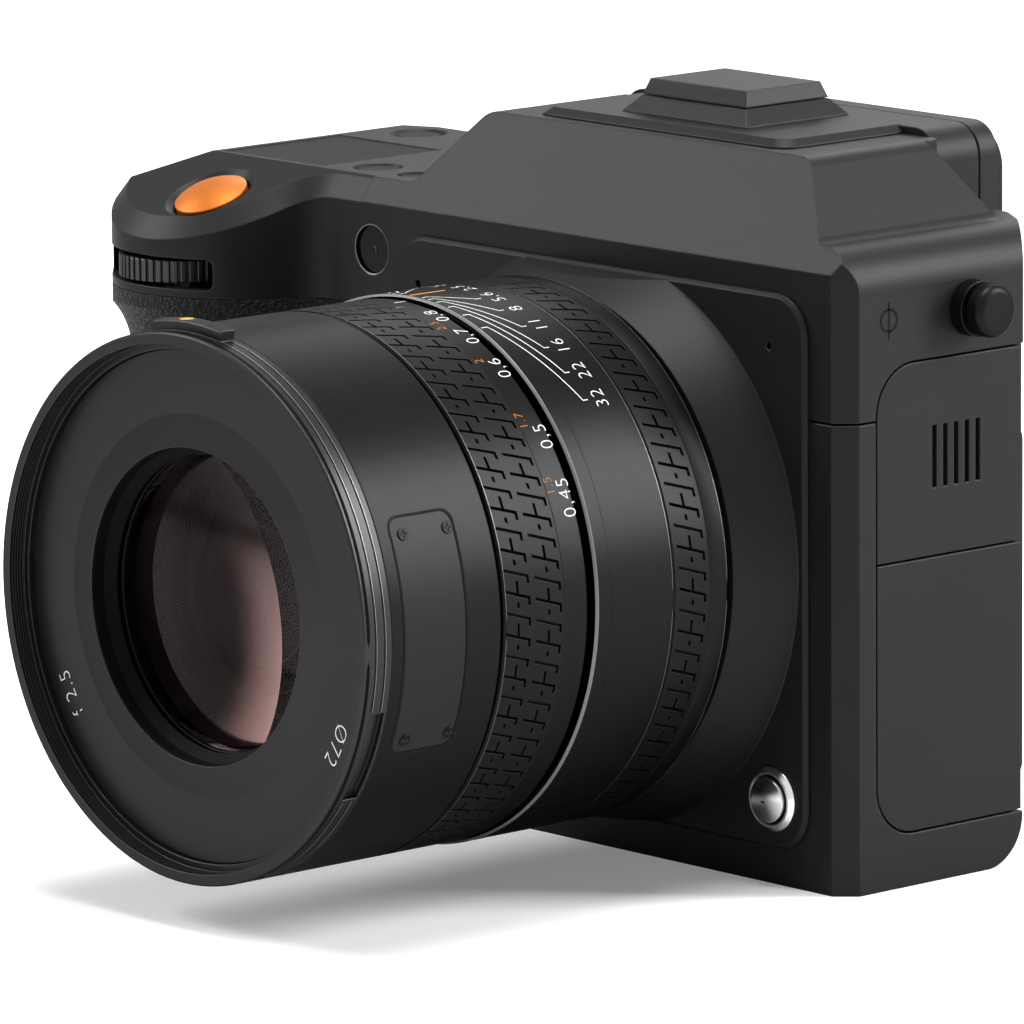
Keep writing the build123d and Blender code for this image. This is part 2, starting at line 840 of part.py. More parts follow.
def eyepiece_lens():
    room = fit
    glass = block(-eye_half_x + room, eye_half_x - room, back_depth + wall, eye_glass_depth,
                  eye_z0 + room, eye_z1 - room)
    return fillet(glass.faces().sort_by(Axis.Y)[-1].edges(), skin / 2)


# Back and display
shell_thick = 3.3
shell_depth = side_depth + shell_thick
shell_low = 3.4
display_x0 = -38.0
display_x1 = 40.5
display_low = 9.5
display_high = 60.0
display_gap = 0.6
display_thick = 4.4
display_d0 = shell_depth + display_gap
display_d1 = display_d0 + display_thick
glass_edge = 2.4
glass_thick = 0.8
hinge_r = 1.2
hinge_z = 62.4
hinge_depth = display_d0 + hinge_r + run
knuckle_r = 1.8
knuckle_long = 6.0
knuckle_x = (-34.0, 36.5)
back_button_x = -45.2
back_button_r = 2.7
back_button_low = 18.0
back_button_pitch = 11.0
back_button_count = 4
back_button_rise = 0.9


def rear_shell():
    back = block(grip_inner_x + gap, back_corner_x, side_depth + gap, shell_depth,
                 shell_low, seam_z - gap)
    back = chamfer(back.edges().filter_by(Axis.Z).sort_by_distance(
        (back_corner_x, front + shell_depth, mid(shell_low, seam_z)))[0], skin)
    for i in range(back_button_count):
        z = back_button_low + i * back_button_pitch
        back -= rod_y(back_button_r + run, side_depth, shell_depth + wall, back_button_x, z)
    return back


def rear_button(i):
    z = back_button_low + i * back_button_pitch
    cap = rod_y(back_button_r, side_depth + run + skin, shell_depth + back_button_rise,
                back_button_x, z)
    return fillet(cap.faces().sort_by(Axis.Y)[-1].edges(), back_button_rise / 2)


def rear_display():
    panel = block(display_x0, display_x1, display_d0, display_d1, display_low,
                  display_high)
    panel = fillet(panel.edges().filter_by(Axis.Y), glass_edge)
    panel -= display_pane(0)
    for x in knuckle_x:
        inner = x - knuckle_long if x > 0 else x + knuckle_long
        lug = rod_x(knuckle_r, inner - knuckle_long / 3, inner + knuckle_long / 3,
                    hinge_depth, hinge_z)
        lug += block(inner - knuckle_long / 3, inner + knuckle_long / 3, display_d0,
                     hinge_depth + hinge_r, display_high - skin, hinge_z)
        panel += lug
        panel += rod_x(hinge_r, min(x, inner) - knuckle_long / 3,
                       max(x, inner) + knuckle_long / 3, hinge_depth, hinge_z)
    return panel


def display_pane(room):
    return block(display_x0 + glass_edge + room, display_x1 - glass_edge - room,
                 display_d1 - glass_thick, display_d1 - room, display_low + glass_edge + room,
                 display_high - glass_edge - room)


def display_glass():
    return display_pane(fit)


def display_hinge_bracket():
    ears = []
    for x in knuckle_x:
        ear = rod_x(knuckle_r - gap, x - knuckle_long / 3, x + knuckle_long / 3 - run,
                    hinge_depth, hinge_z)
        ear += block(x - knuckle_long / 3, x + knuckle_long / 3 - run, shell_depth + gap,
                     hinge_depth, hinge_z - knuckle_r + gap, hinge_z + knuckle_r - gap)
        ears.append(ear - rod_x(hinge_r + fit, x - knuckle_long, x + knuckle_long,
                                hinge_depth, hinge_z))
    return group(ears)


# Controls
def ribbed_wheel(r, low, high, x, depth):
    """A thumb wheel with upright ribs round its edge."""
    wheel = rod_z(r, x, depth, low, high)
    wheel -= rod_z(shaft_r + fit, x, depth, low - gap, high + gap)
    cut = Pos(r, 0, 0) * Box(2 * dial_rib_depth, dial_rib_width, high - low + wall)
    centre = at(x, depth, mid(low, high))
    turns = [centre * Rot(0, 0, 360 / dial_ribs * i) * cut for i in range(dial_ribs)]
    return wheel - turns


def front_dial():
    return ribbed_wheel(dial_r, dial_low, dial_high, dial_x, dial_depth)


def rear_dial():
    return ribbed_wheel(rear_dial_r, dial_low, dial_high, rear_dial_x, rear_dial_depth)


def dial_shafts():
    """The upright shafts of both dials, each held in a foot below its wheel."""
    shafts = []
    for x, depth in ((dial_x, dial_depth), (rear_dial_x, rear_dial_depth)):
        shaft = rod_z(shaft_r, x, depth, rubber_top + gap, dial_high + run)
        shaft += rod_z(2 * shaft_r, x, depth, rubber_top, dial_low - run)
        shafts.append(shaft)
    return group(shafts)


def shutter_button():
    face = -shutter_recess - shutter_travel
    cap = Pos(0, 0, face + 2 * shutter_travel) * dome(shutter_r, shutter_dome)
    cap += Pos(0, 0, mid(face, face + 2 * shutter_travel)) * Cylinder(
        shutter_r, 2 * shutter_travel)
    cap += Pos(0, 0, face - wall / 2) * Cylinder(stem_r, wall)
    return on_crown(cap)


def top_button(name):
    x, depth, r, ring = top_buttons[name]
    cap = rod_z(r, x, depth, top_z - button_deep, top_z - dish + button_rise)
    return fillet(cap.faces().sort_by(Axis.Z)[-1].edges(), button_rise / 2)


def top_display_window():
    return block(window_x0 + gap, window_x1 - gap, window_d0 + gap, window_d1 - gap,
                 top_z - window_thick + gap, top_z - gap)


def battery():
    cell = block(battery_x0, battery_x1, battery_d0, battery_d1, 0, battery_top)
    foot = block(battery_x0 - battery_lip, battery_x1 + battery_lip,
                 battery_d0 - battery_lip, battery_d1 + battery_lip, 0, battery_foot)
    return cell + foot


def battery_lever():
    disc = rod_z(lever_r, lever_x, lever_depth, lever_low + lever_bar / 2, lever_high)
    disc += block(lever_x - lever_r * 3 / 4, lever_x + lever_r * 3 / 4,
                  lever_depth - lever_bar / 2, lever_depth + lever_bar / 2,
                  lever_low, lever_high)
    return disc + rod_z(shaft_r, lever_x, lever_depth, lever_high, 3 * wall)


# Inside the body
sensor_depth = 8.3
sensor_half_x = 21.9
sensor_half_z = 16.45
sensor_thick = 2.0
board_depth = 21.0
board_thick = 8.0


def sensor():
    glass = block(-sensor_half_x, sensor_half_x, sensor_depth, sensor_depth + sensor_thick,
                  axis_z - sensor_half_z, axis_z + sensor_half_z)
    edge = 2 * wall
    tray = block(-sensor_half_x - edge, sensor_half_x + edge / 2, sensor_depth + sensor_thick,
                 sensor_depth + 2 * sensor_thick - gap, axis_z - sensor_half_z - edge,
                 axis_z + sensor_half_z + edge)
    tray -= block(card_x0 - run, side_x, card_d0 - run, card_d1, 0, card_high + run)
    return glass + tray


def circuit_board():
    """Board, memory and heat plate, as one slab behind the sensor."""
    return block(grip_inner_x + wall, side_x - 2 * wall, board_depth,
                 board_depth + board_thick, floor_thick + 2 * base_plate_thick + skin,
                 seam_z - 2 * wall)


# Lens
name_depth = rim_depth + thread_depth
rim_back = -72.3
cell_r = 20.4
cell_wall = 2.0
cell_back = -64.0
web = 3.0
glass_front = -71.6
glass_middle = 7.0
glass_edge_thick = 2.6
rear_glass_r = 17.0
rear_glass_front = -14.5
rear_glass_thick = 6.0
rear_web_depth = -12.4
shutter_plate_depth = -36.0
shutter_bore_r = 18.6
bayonet_seat_r = 32.0
bayonet_seat = 1.8
blade_count = 5
blade_thick = 0.4
blade_pitch = 0.7
blade_inner_r = 19.4
blade_outer_r = 27.0
blade_pivot_r = 24.6
blade_pin_r = 1.0
blade_angle = 66.0
knurl_depth = 0.5
nameplate_front = -70.1
nameplate_back = -58.9
nameplate_low = 28.1
nameplate_high = 60.1
nameplate_corner = 1.8
nameplate_thick = 0.6
hood_tab_angle = 21.0
hood_tab_rise = 1.5
hood_tab_long = 2.4
hood_tab_gap = 2.0       # from the rim's front to the tab and the slots
hood_slot_deep = 0.8
hood_slot_long = 2.5
hood_slot_angles = (115.0, -115.0)


def lens_tube():
    """The fixed tube of the lens: rear flange, shutter plate, glass seat, pins."""
    flange_front = control_back + fit
    back = flange_depth - gap
    tube = turned([(tube_bore, focus_front), (tube_r, focus_front), (tube_r, flange_front),
                   (flange_r, flange_front), (flange_r, mid(flange_front, back)),
                   (groove_r, back), (bayonet_seat_r, back),
                   (bayonet_seat_r, back - bayonet_seat), (tube_bore, back - bayonet_seat)])
    tube += turned([(shutter_bore_r, shutter_plate_depth),
                    (tube_bore + skin, shutter_plate_depth),
                    (tube_bore + skin, shutter_plate_depth + web / 2),
                    (shutter_bore_r, shutter_plate_depth + web / 2)])
    tube += turned([(rear_glass_r + gap, rear_web_depth - web), (tube_bore + skin,
                    rear_web_depth - web), (tube_bore + skin, rear_web_depth),
                    (rear_glass_r + gap, rear_web_depth)])
    for i in range(blade_count):
        pin = rod_y(blade_pin_r, shutter_plate_depth - blade_count * blade_pitch - gap,
                    shutter_plate_depth + gap, 0, axis_z + blade_pivot_r)
        tube += on_axis(360 / blade_count * i, pin)
    return tube


def lens_bayonet():
    seat = flange_depth - gap
    ring = tube_y(bayonet_seat_r - gap, bayonet_bore, seat - bayonet_seat + gap, seat,
                  0, axis_z)
    back = flange_depth + mount_ring_thick + run
    ring += tube_y(bayonet_r, bayonet_bore, seat - gap, back + tab_thick, 0, axis_z)
    tabs = tube_y(tab_r, bayonet_r - gap, back, back + tab_thick, 0, axis_z)
    for i in range(tab_count):
        ring += tabs & sector(mount_ring_r, back - gap, back + 2 * tab_thick,
                              360 / tab_count * i, tab_angle)
    return ring


def control_ring():
    ring = turned([(tube_r + fit, scale_back + fit), (ring_r - knurl_depth, scale_back + fit),
                   (ring_r, scale_back + knurl_depth), (ring_r, control_back - knurl_depth),
                   (ring_r - knurl_depth, control_back - fit),
                   (tube_r + fit, control_back - fit)])
    return ring


def scale_ring():
    chamfered = 4 * knurl_depth
    return turned([(tube_r, scale_front + skin), (sleeve_r + 2 * skin, scale_front),
                   (ring_r - chamfered, scale_front), (ring_r, scale_front + chamfered / 2),
                   (ring_r, scale_back - fit), (tube_r, scale_back - fit)])


def focus_sleeve():
    """The inner sleeve that slides with the ring between its two positions."""
    return turned([(tube_r + fit, focus_front + skin), (sleeve_r - fit, focus_front + skin),
                   (sleeve_r - fit, focus_back - skin), (tube_r + fit, focus_back - skin)])


def focus_ring():
    lip = focus_front + skin - run
    return turned([(sleeve_r, lip), (rim_r, lip), (rim_r, focus_back - knurl_depth),
                   (rim_r - knurl_depth, focus_back), (sleeve_r, focus_back)])


def front_barrel():
    """The outer barrel with the web and the cell that holds the front glass."""
    web_front = focus_front - web
    back = focus_front - gap
    barrel = turned([
        (cell_r, cell_back - 2 * web), (cell_r + cell_wall, cell_back - 2 * web),
        (cell_r + cell_wall, web_front), (groove_r, web_front), (groove_r, rim_back + gap),
        (rim_r, rim_back + gap), (rim_r, back), (tube_bore, back),
        (tube_bore, back - web / 2), (cell_r, back - web / 2)])
    pocket = nameplate_block(gap)
    return barrel - (pocket - rod_y(rim_r - nameplate_thick, rim_depth, focus_front,
                                    0, axis_z))


def nameplate_sink():
    """How far the curve of the barrel falls away at the plate's ends."""
    half = max(axis_z - nameplate_low, nameplate_high - axis_z)
    return rim_r - (rim_r * rim_r - half * half) ** (1 / 2)


def nameplate_block(room=0):
    """An upright block with the plate's outline and its round corners, room wider."""
    outline = block(rim_r - 2 * nameplate_thick - nameplate_sink(), rim_r + wall,
                    nameplate_front - room, nameplate_back + room,
                    nameplate_low - room, nameplate_high + room)
    return fillet(outline.edges().filter_by(Axis.X), nameplate_corner + room)


def nameplate():
    """The curved blank plate let into the side of the barrel."""
    curved = tube_y(rim_r - fit, rim_r - nameplate_thick + fit, nameplate_front, nameplate_back,
                    0, axis_z)
    return curved & nameplate_block()


def front_rim():
    """The filter thread ring, with the index tab and the two slots of the hood bayonet."""
    edge = knurl_depth / 2
    thread_end = rim_depth + thread_long
    rim = turned([(thread_r, rim_depth), (rim_r - edge, rim_depth),
                  (rim_r, rim_depth + edge), (rim_r, rim_back),
                  (thread_r - skin, rim_back), (thread_r - skin, thread_end),
                  (thread_r, thread_end)])
    start = rim_depth + hood_tab_gap
    tab = turned([(rim_r - edge, start), (rim_r + hood_tab_rise - edge, start),
                  (rim_r + hood_tab_rise, start + edge),
                  (rim_r + hood_tab_rise, start + hood_tab_long),
                  (rim_r - edge, start + hood_tab_long)])
    rim += tab & sector(ring_r, rim_depth, rim_depth + 2 * web, 0, hood_tab_angle)
    slot = tube_y(rim_r + edge, rim_r - hood_slot_deep, start, start + hood_slot_long,
                  0, axis_z)
    for angle in hood_slot_angles:
        rim -= slot & sector(ring_r, rim_depth, rim_depth + 2 * web, angle, hood_tab_angle)
    return rim


def name_ring():
    """The flat front face inside the rim, rising to the bright-edged opening."""
    back = rim_back - gap
    outer = thread_r - skin - gap
    return turned([(outer, name_depth), (bevel_r, name_depth),
                   (opening_r, name_depth - opening_lift), (opening_r, back),
                   (cell_r + fit, back + web / 2), (cell_r + cell_wall - fit, back + web / 2),
                   (cell_r + cell_wall + skin, back), (outer, back)])


def lens_glass(r, depth, middle, edge):
    """A biconvex glass: a disc between two balls, its front pole at a depth."""
    bulge = (middle - edge) / 2
    ball = (r * r + bulge * bulge) / (2 * bulge)
    blank = rod_y(r, depth, depth + middle, 0, axis_z)
    blank &= at(0, depth + ball, axis_z) * Sphere(ball)
    return blank & at(0, depth + middle - ball, axis_z) * Sphere(ball)


def front_glass():
    return lens_glass(cell_r - fit, glass_front, glass_middle, glass_edge_thick)


def rear_glass():
    return lens_glass(rear_glass_r, rear_glass_front - web, rear_glass_thick,
                      glass_edge_thick)


def shutter_blade(i):
    """One crescent blade, on its own level, with a hole for its pin."""
    depth = shutter_plate_depth - (blade_count - i) * blade_pitch
    blade = tube_y(blade_outer_r, blade_inner_r, depth, depth + blade_thick, 0, axis_z)
    blade &= sector(blade_outer_r, depth - gap, depth + blade_pitch, blade_angle / 2.4,
                    blade_angle)
    blade -= rod_y(blade_pin_r + fit, depth - gap, depth + blade_pitch,
                   0, axis_z + blade_pivot_r)
    return on_axis(360 / blade_count * i, blade)


# All the pieces
pieces = {
    "chassis": chassis, "top_cover": top_cover, "base_plate": base_plate,
    "base_screws": base_screws, "tripod_bush": tripod_bush, "grip_core": grip_core,
    "grip_rubber": grip_rubber, "front_plate": front_plate, "mount_ring": mount_ring,
    "mount_screws": mount_screws, "release_bezel": release_bezel,
    "release_button": release_button, "af_lamp_window": af_lamp_window,
    "speaker_panel": speaker_panel, "card_door": card_door,
    "card_slot_unit": card_slot_unit, "shoe_plate": shoe_plate, "hot_shoe": hot_shoe,
    "shoe_cover": shoe_cover, "evf_housing": evf_housing, "eyecup": eyecup,
    "eyepiece_lens": eyepiece_lens, "rear_shell": rear_shell,
    "rear_display": rear_display, "display_glass": display_glass,
    "display_hinge_bracket": display_hinge_bracket, "front_dial": front_dial,
    "rear_dial": rear_dial, "dial_shafts": dial_shafts,
    "shutter_button": shutter_button, "top_display_window": top_display_window,
    "battery": battery, "battery_lever": battery_lever, "sensor": sensor,
    "circuit_board": circuit_board, "lens_tube": lens_tube,
    "lens_bayonet": lens_bayonet, "control_ring": control_ring,
    "scale_ring": scale_ring, "focus_sleeve": focus_sleeve, "focus_ring": focus_ring,
    "front_barrel": front_barrel, "nameplate": nameplate, "front_rim": front_rim,
    "name_ring": name_ring, "front_glass": front_glass, "rear_glass": rear_glass,
}

for name, make in pieces.items():
    save(name, make())
for name in top_buttons:
    save(name, top_button(name))
for i in range(back_button_count):
    save("rear_button_" + str(i + 1), rear_button(i))
for i in range(blade_count):
    save("shutter_blade_" + str(i + 1), shutter_blade(i))
save("strap_lugs", group([strap_lug(1, side_x, lug_z),
                          strap_lug(-1, nose_x - nose_r, grip_lug_z)]))
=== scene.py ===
# %% [markdown]
# # A medium format digital camera, dressed for its portrait
# The solid parts of the camera come from CAD, already in their places and in metres. This
# notebook gives each of them a finish, and models the fine forms that a camera maker cuts,
# engraves or moulds last: the gripping pattern of the rings, the printed scales, the glass
# and the screws. The lens looks along -Y, Z is up, and the hand grip is on the -X side.

# %% Load the parts
import math
import bpy
from mathutils import Matrix, Vector


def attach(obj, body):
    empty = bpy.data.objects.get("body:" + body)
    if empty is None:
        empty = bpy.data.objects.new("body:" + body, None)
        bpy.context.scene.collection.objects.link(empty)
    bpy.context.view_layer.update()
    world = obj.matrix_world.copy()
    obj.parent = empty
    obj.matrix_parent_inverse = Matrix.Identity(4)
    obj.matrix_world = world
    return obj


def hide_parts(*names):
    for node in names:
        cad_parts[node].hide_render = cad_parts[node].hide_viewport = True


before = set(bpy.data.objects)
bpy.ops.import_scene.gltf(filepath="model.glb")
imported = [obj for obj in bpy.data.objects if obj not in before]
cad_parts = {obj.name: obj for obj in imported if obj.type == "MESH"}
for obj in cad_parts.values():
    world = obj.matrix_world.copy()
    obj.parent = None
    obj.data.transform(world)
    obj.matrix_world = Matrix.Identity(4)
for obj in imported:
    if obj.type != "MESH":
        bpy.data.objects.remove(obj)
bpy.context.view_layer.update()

# %% [markdown]
# ## Where things are
# A lens maker measures everything from the lens axis and from the front face of the body.
# Two small helpers turn such sizes, in millimetres, into places in the scene. With them a
# ring or a number can be placed with the same figures that a drawing would show.

# %% Lengths and places
MM = 0.001
FRONT = -17.0            # y of the body's front face, in millimetres
AXIS_Z = 44.06           # height of the lens axis


def place(x, depth, z):
    """A point from its x, its depth behind the front face and its height, in millimetres."""
    return Vector((x * MM, (depth + FRONT) * MM, z * MM))


def on_barrel(radius, depth, angle):
    """A point round the lens axis; angle 0 is the card door side and 90 degrees is up."""
    a = math.radians(angle)
    return place(radius * math.cos(a), depth, AXIS_Z + radius * math.sin(a))


# %% [markdown]
# ## The camera that takes the picture
# The picture is taken from the front right, a little from above, with a long lens, so lines
# that are parallel on the object stay almost parallel. A long lens on a normal sensor gives
# the same look here. The viewpoint is built from its angle round the object, its height
# and a very small roll.

# %% The viewpoint
def aim(azimuth, elevation, roll, target, distance):
    """The camera's matrix, looking at target from that direction."""
    a, e, r = (math.radians(v) for v in (azimuth, elevation, roll))
    back = Vector((math.sin(a) * math.cos(e), -math.cos(a) * math.cos(e), math.sin(e)))
    level = Vector((math.cos(a), math.sin(a), 0))
    up = back.cross(level)
    right = level * math.cos(r) + up * math.sin(r)
    up = up * math.cos(r) - level * math.sin(r)
    spot = target + back * distance
    turn = Matrix((right, up, back)).transposed().to_4x4()
    return Matrix.Translation(spot) @ turn


view_camera = bpy.data.objects.new("view_camera", bpy.data.cameras.new("view_camera"))
bpy.context.scene.collection.objects.link(view_camera)
view_camera.data.sensor_width = 36.0
view_camera.data.lens = 344.1
view_camera.data.clip_end = 20
view_camera.matrix_world = aim(azimuth=47.9267, elevation=10.3335, roll=-0.4596,
                               target=place(-18.66, 0, 45.109), distance=1.378527)
bpy.context.scene.camera = view_camera
bpy.context.scene.view_settings.view_transform = "Standard"
print("camera at", [round(v, 3) for v in view_camera.location])

# %% [markdown]
# ## Selecting by hand, in code
# Blender's modelling tools work on whatever is selected, just as when they are used with
# the mouse. The parts from CAD arrive selected, so the first step of every new piece is to
# deselect everything. The helpers below do what a maker does between two tools: pick a
# piece up, go into it to pick faces or points, and put it down again.

# %% Helpers for picking things up
def deselect_all():
    for obj in bpy.context.selected_objects:
        obj.select_set(False)


def go_to(mode):
    """Changes to edit mode or back to object mode."""
    bpy.ops.object.mode_set(mode=mode)


def pick_up(obj):
    """Makes obj the only selected object, and the active one."""
    if bpy.context.object and bpy.context.object.mode != "OBJECT":
        go_to("OBJECT")
    deselect_all()
    obj.select_set(True)
    bpy.context.view_layer.objects.active = obj


def pick_faces(obj, wanted):
    """Selects in edit mode the faces for which wanted(centre, normal) is true."""
    pick_up(obj)
    go_to("EDIT")
    bpy.ops.mesh.select_mode(type="FACE")
    bpy.ops.mesh.select_all(action="DESELECT")
    go_to("OBJECT")
    for face in obj.data.polygons:
        face.select = bool(wanted(face.center, face.normal))
    go_to("EDIT")


def put_down(obj):
    """Leaves edit mode and moves the object's own place into its mesh."""
    pick_up(obj)
    bpy.ops.object.transform_apply(location=True, rotation=True, scale=True)
    return obj


def apply_modifier(obj, kind, **settings):
    """Adds a modifier with its settings and applies it at once."""
    pick_up(obj)
    tool = obj.modifiers.new(kind.title(), kind)
    for name, value in settings.items():
        setattr(tool, name, value)
    bpy.ops.object.modifier_apply(modifier=tool.name)


# %% [markdown]
# ## Nodes, written short
# The world, the floor and every finish are node trees. A node is made, given its values and
# joined to others, many times over. Written out, that hides what a finish does, so three
# small helpers do it, and a tree reads almost like a sum.

# %% Helpers for nodes
def feed(tree, socket, value):
    """Joins another node's output to the socket, or sets the socket to a value."""
    if hasattr(value, "is_output"):
        tree.links.new(value, socket)
    elif value is not None:
        socket.default_value = value


def add_node(tree, kind, inputs=None, **settings):
    """A new node; settings are its own, inputs go to its sockets by name or number."""
    node = tree.nodes.new("ShaderNode" + kind)
    for name, value in settings.items():
        setattr(node, name, value)
    for name, value in (inputs or {}).items():
        feed(tree, node.inputs[name], value)
    return node


def math_node(tree, operation, a, b=None):
    """The result of a sum; a and b are outputs of other nodes or numbers."""
    return add_node(tree, "Math", {0: a, 1: b}, operation=operation).outputs[0]


# %% [markdown]
# ## Floor and light
# Product pictures of this kind are made on a white sweep under large soft lamps. The object
# is black, so its form only shows in broad, soft reflections. A panel above makes the top
# faces the lightest, two panels behind draw light along the edges, the barrel and the shiny
# buttons, and one at the front left fills the face of the lens a little. The background is
# white only for the camera and for reflections, so it adds no light to the object, and the
# floor keeps the object's shadow.

# %% World and floor
WHITE = (1, 1, 1, 1)
SKY_LIGHT = 0.14         # how much the surroundings light the object
FLOOR_LIFT = 0.20        # brightness that the floor gains for the camera alone


def white_for_view(tree, plain, white):
    """Joins two shaders: plain lights the object, white is what camera and mirrors see."""
    path = add_node(tree, "LightPath").outputs
    either = math_node(tree, "MAXIMUM", path["Is Camera Ray"], path["Is Glossy Ray"])
    any_of = math_node(tree, "MAXIMUM", either, path["Is Transmission Ray"])
    return add_node(tree, "MixShader", {0: any_of, 1: plain, 2: white}).outputs[0]


world = bpy.data.worlds.new("studio")
bpy.context.scene.world = world
world.use_nodes = True
sky = world.node_tree
sky.nodes.clear()
dim_sky, white_sky = (
    add_node(sky, "Background", {"Color": WHITE, "Strength": strength}).outputs[0]
    for strength in (SKY_LIGHT, 1.0))
add_node(sky, "OutputWorld", {"Surface": white_for_view(sky, dim_sky, white_sky)})

deselect_all()
bpy.ops.mesh.primitive_plane_add(size=8, location=(0, 0, 0))
floor = put_down(bpy.context.object)
floor.name = "floor"
floor_paint = bpy.data.materials.new("white_sweep")
floor_paint.use_nodes = True
paint = floor_paint.node_tree
paint.nodes.clear()
matt_white = add_node(paint, "BsdfDiffuse", {"Color": (0.86, 0.86, 0.86, 1)}).outputs[0]
seen = add_node(paint, "LightPath").outputs["Is Camera Ray"]
view_only = add_node(paint, "Emission", {
    "Color": WHITE, "Strength": math_node(paint, "MULTIPLY", seen, FLOOR_LIFT)}).outputs[0]
both = add_node(paint, "AddShader", {0: matt_white, 1: view_only}).outputs[0]
add_node(paint, "OutputMaterial", {"Surface": both})
floor.data.materials.append(floor_paint)
print("floor:", round(floor.dimensions.x, 1), "m wide")

# %% Soft lamps
SUBJECT = (0.0, -0.03, 0.05)


def soft_panel(name, spot, size, watts):
    """A large rectangular lamp that faces the middle of the object."""
    lamp = bpy.data.lights.new(name, "AREA")
    lamp.shape = "RECTANGLE"
    lamp.size, lamp.size_y = size
    lamp.energy = watts
    obj = bpy.data.objects.new(name, lamp)
    bpy.context.scene.collection.objects.link(obj)
    obj.location = spot
    obj.rotation_euler = (Vector(SUBJECT) - Vector(spot)).to_track_quat("-Z", "Y").to_euler()
    return obj


panels = [soft_panel("panel_above", (0.05, 0.0, 1.15), (0.6, 0.6), 16.0),
          soft_panel("panel_back_right", (0.67, 0.70, 0.53), (0.32, 0.7), 18.0),
          soft_panel("panel_back_left", (-0.50, 0.74, 0.68), (0.5, 0.45), 4.5),
          soft_panel("panel_front_left", (-0.80, -0.50, 0.68), (0.4, 0.4), 9.0)]
print("lamps:", len(panels), "with", sum(p.data.energy for p in panels), "W")

# %% [markdown]
# ## Shared surface effects
# Real surfaces are never one flat colour. A bead-blasted and coated metal has a fine grain;
# its corners are slightly rounded and catch the light, and where fingers rub, the corner
# turns a little brighter. These effects are needed by many finishes, so each is built once
# as a node group with named inputs, and every material sets its own values. A group only
# gives out colours, masks and heights; the shader itself stays in the material.

# %% Node group helpers
def new_group(name, inputs, outputs):
    """An empty shader node group with named sockets; returns its tree and both ends."""
    tree = bpy.data.node_groups.new(name, "ShaderNodeTree")
    for label, value in inputs.items():
        tree.interface.new_socket(name=label, in_out="INPUT",
                                  socket_type="NodeSocketFloat").default_value = value
    for label, kind in outputs.items():
        tree.interface.new_socket(name=label, in_out="OUTPUT",
                                  socket_type="NodeSocket" + kind)
    return tree, tree.nodes.new("NodeGroupInput"), tree.nodes.new("NodeGroupOutput")


def on_object(tree):
    """The place of a surface point on the object itself, so that no pattern slides."""
    return add_node(tree, "TexCoord").outputs["Object"]


def noise(tree, scale, detail, **inputs):
    """Soft random clouds; gives their grey and their colour."""
    return add_node(tree, "TexNoise", {"Vector": on_object(tree), "Scale": scale,
                                       "Detail": detail, **inputs}).outputs


def per_metre(tree, size_mm):
    """How often a pattern of that size in millimetres fits into a metre."""
    return math_node(tree, "DIVIDE", 1 / MM, size_mm)


def spread(tree, value, start=(0.0, 1.0), end=(0.0, 1.0), **settings):
    """A value between the two of start, moved to lie as far between the two of end."""
    return add_node(tree, "MapRange", {
        "Value": value, "From Min": start[0], "From Max": start[1],
        "To Min": end[0], "To Max": end[1]}, **settings).outputs[0]


# %% Fine grain of blasted and coated metal
grain, g_in, g_out = new_group("blasted_grain", {"Size mm": 0.16, "Clouding": 0.12},
                               {"Height": "Float", "Tone": "Float"})
fine = noise(grain, per_metre(grain, g_in.outputs["Size mm"]), 3.0, Roughness=0.62)["Fac"]
cloud = noise(grain, 45.0, 4.0)["Fac"]
soft_tone = math_node(grain, "MULTIPLY", math_node(grain, "SUBTRACT", cloud, 0.5),
                      g_in.outputs["Clouding"])
speckle = math_node(grain, "MULTIPLY", math_node(grain, "SUBTRACT", fine, 0.5), 0.45)
tone = math_node(grain, "ADD", math_node(grain, "ADD", soft_tone, speckle), 1.0)
feed(grain, g_out.inputs["Height"], fine)
feed(grain, g_out.inputs["Tone"], tone)
print("grain:", len(grain.nodes), "nodes")

# %% Rounded and rubbed corners
corner, c_in, c_out = new_group("rubbed_corners", {"Radius mm": 0.35},
                                {"Normal": "Vector", "Mask": "Float"})
rounded = add_node(corner, "Bevel", {
    "Radius": math_node(corner, "MULTIPLY", c_in.outputs["Radius mm"], MM)},
    samples=6).outputs["Normal"]
facing = add_node(corner, "NewGeometry").outputs["Normal"]
agree = add_node(corner, "VectorMath", {0: rounded, 1: facing},
                 operation="DOT_PRODUCT").outputs["Value"]
bent = math_node(corner, "MULTIPLY", math_node(corner, "SUBTRACT", 1.0, agree), 6.0)
feed(corner, c_out.inputs["Normal"], rounded)
feed(corner, c_out.inputs["Mask"], add_node(corner, "Clamp", {"Value": bent}).outputs[0])
print("corners:", len(corner.nodes), "nodes")

# %% Pebbled leather grain of moulded rubber
pebble, p_in, p_out = new_group("pebbled_rubber", {"Size mm": 0.9},
                                {"Height": "Float", "Crease": "Float"})
shift = add_node(pebble, "VectorMath", {
    0: noise(pebble, 700.0, 2.0)["Color"], "Scale": 0.9 * MM}, operation="SCALE").outputs[0]
moved = add_node(pebble, "VectorMath", {0: on_object(pebble), 1: shift},
                 operation="ADD").outputs[0]
cells = add_node(pebble, "TexVoronoi", {
    "Vector": moved, "Scale": per_metre(pebble, p_in.outputs["Size mm"])},
    feature="DISTANCE_TO_EDGE").outputs["Distance"]
swell = spread(pebble, cells, start=(0.0, 0.26), interpolation_type="SMOOTHSTEP")
rough_top = math_node(pebble, "MULTIPLY", noise(pebble, 5200.0, 2.0)["Fac"], 0.28)
feed(pebble, p_out.inputs["Height"], math_node(pebble, "ADD", swell, rough_top))
feed(pebble, p_out.inputs["Crease"], swell)
print("pebbles:", len(pebble.nodes), "nodes")

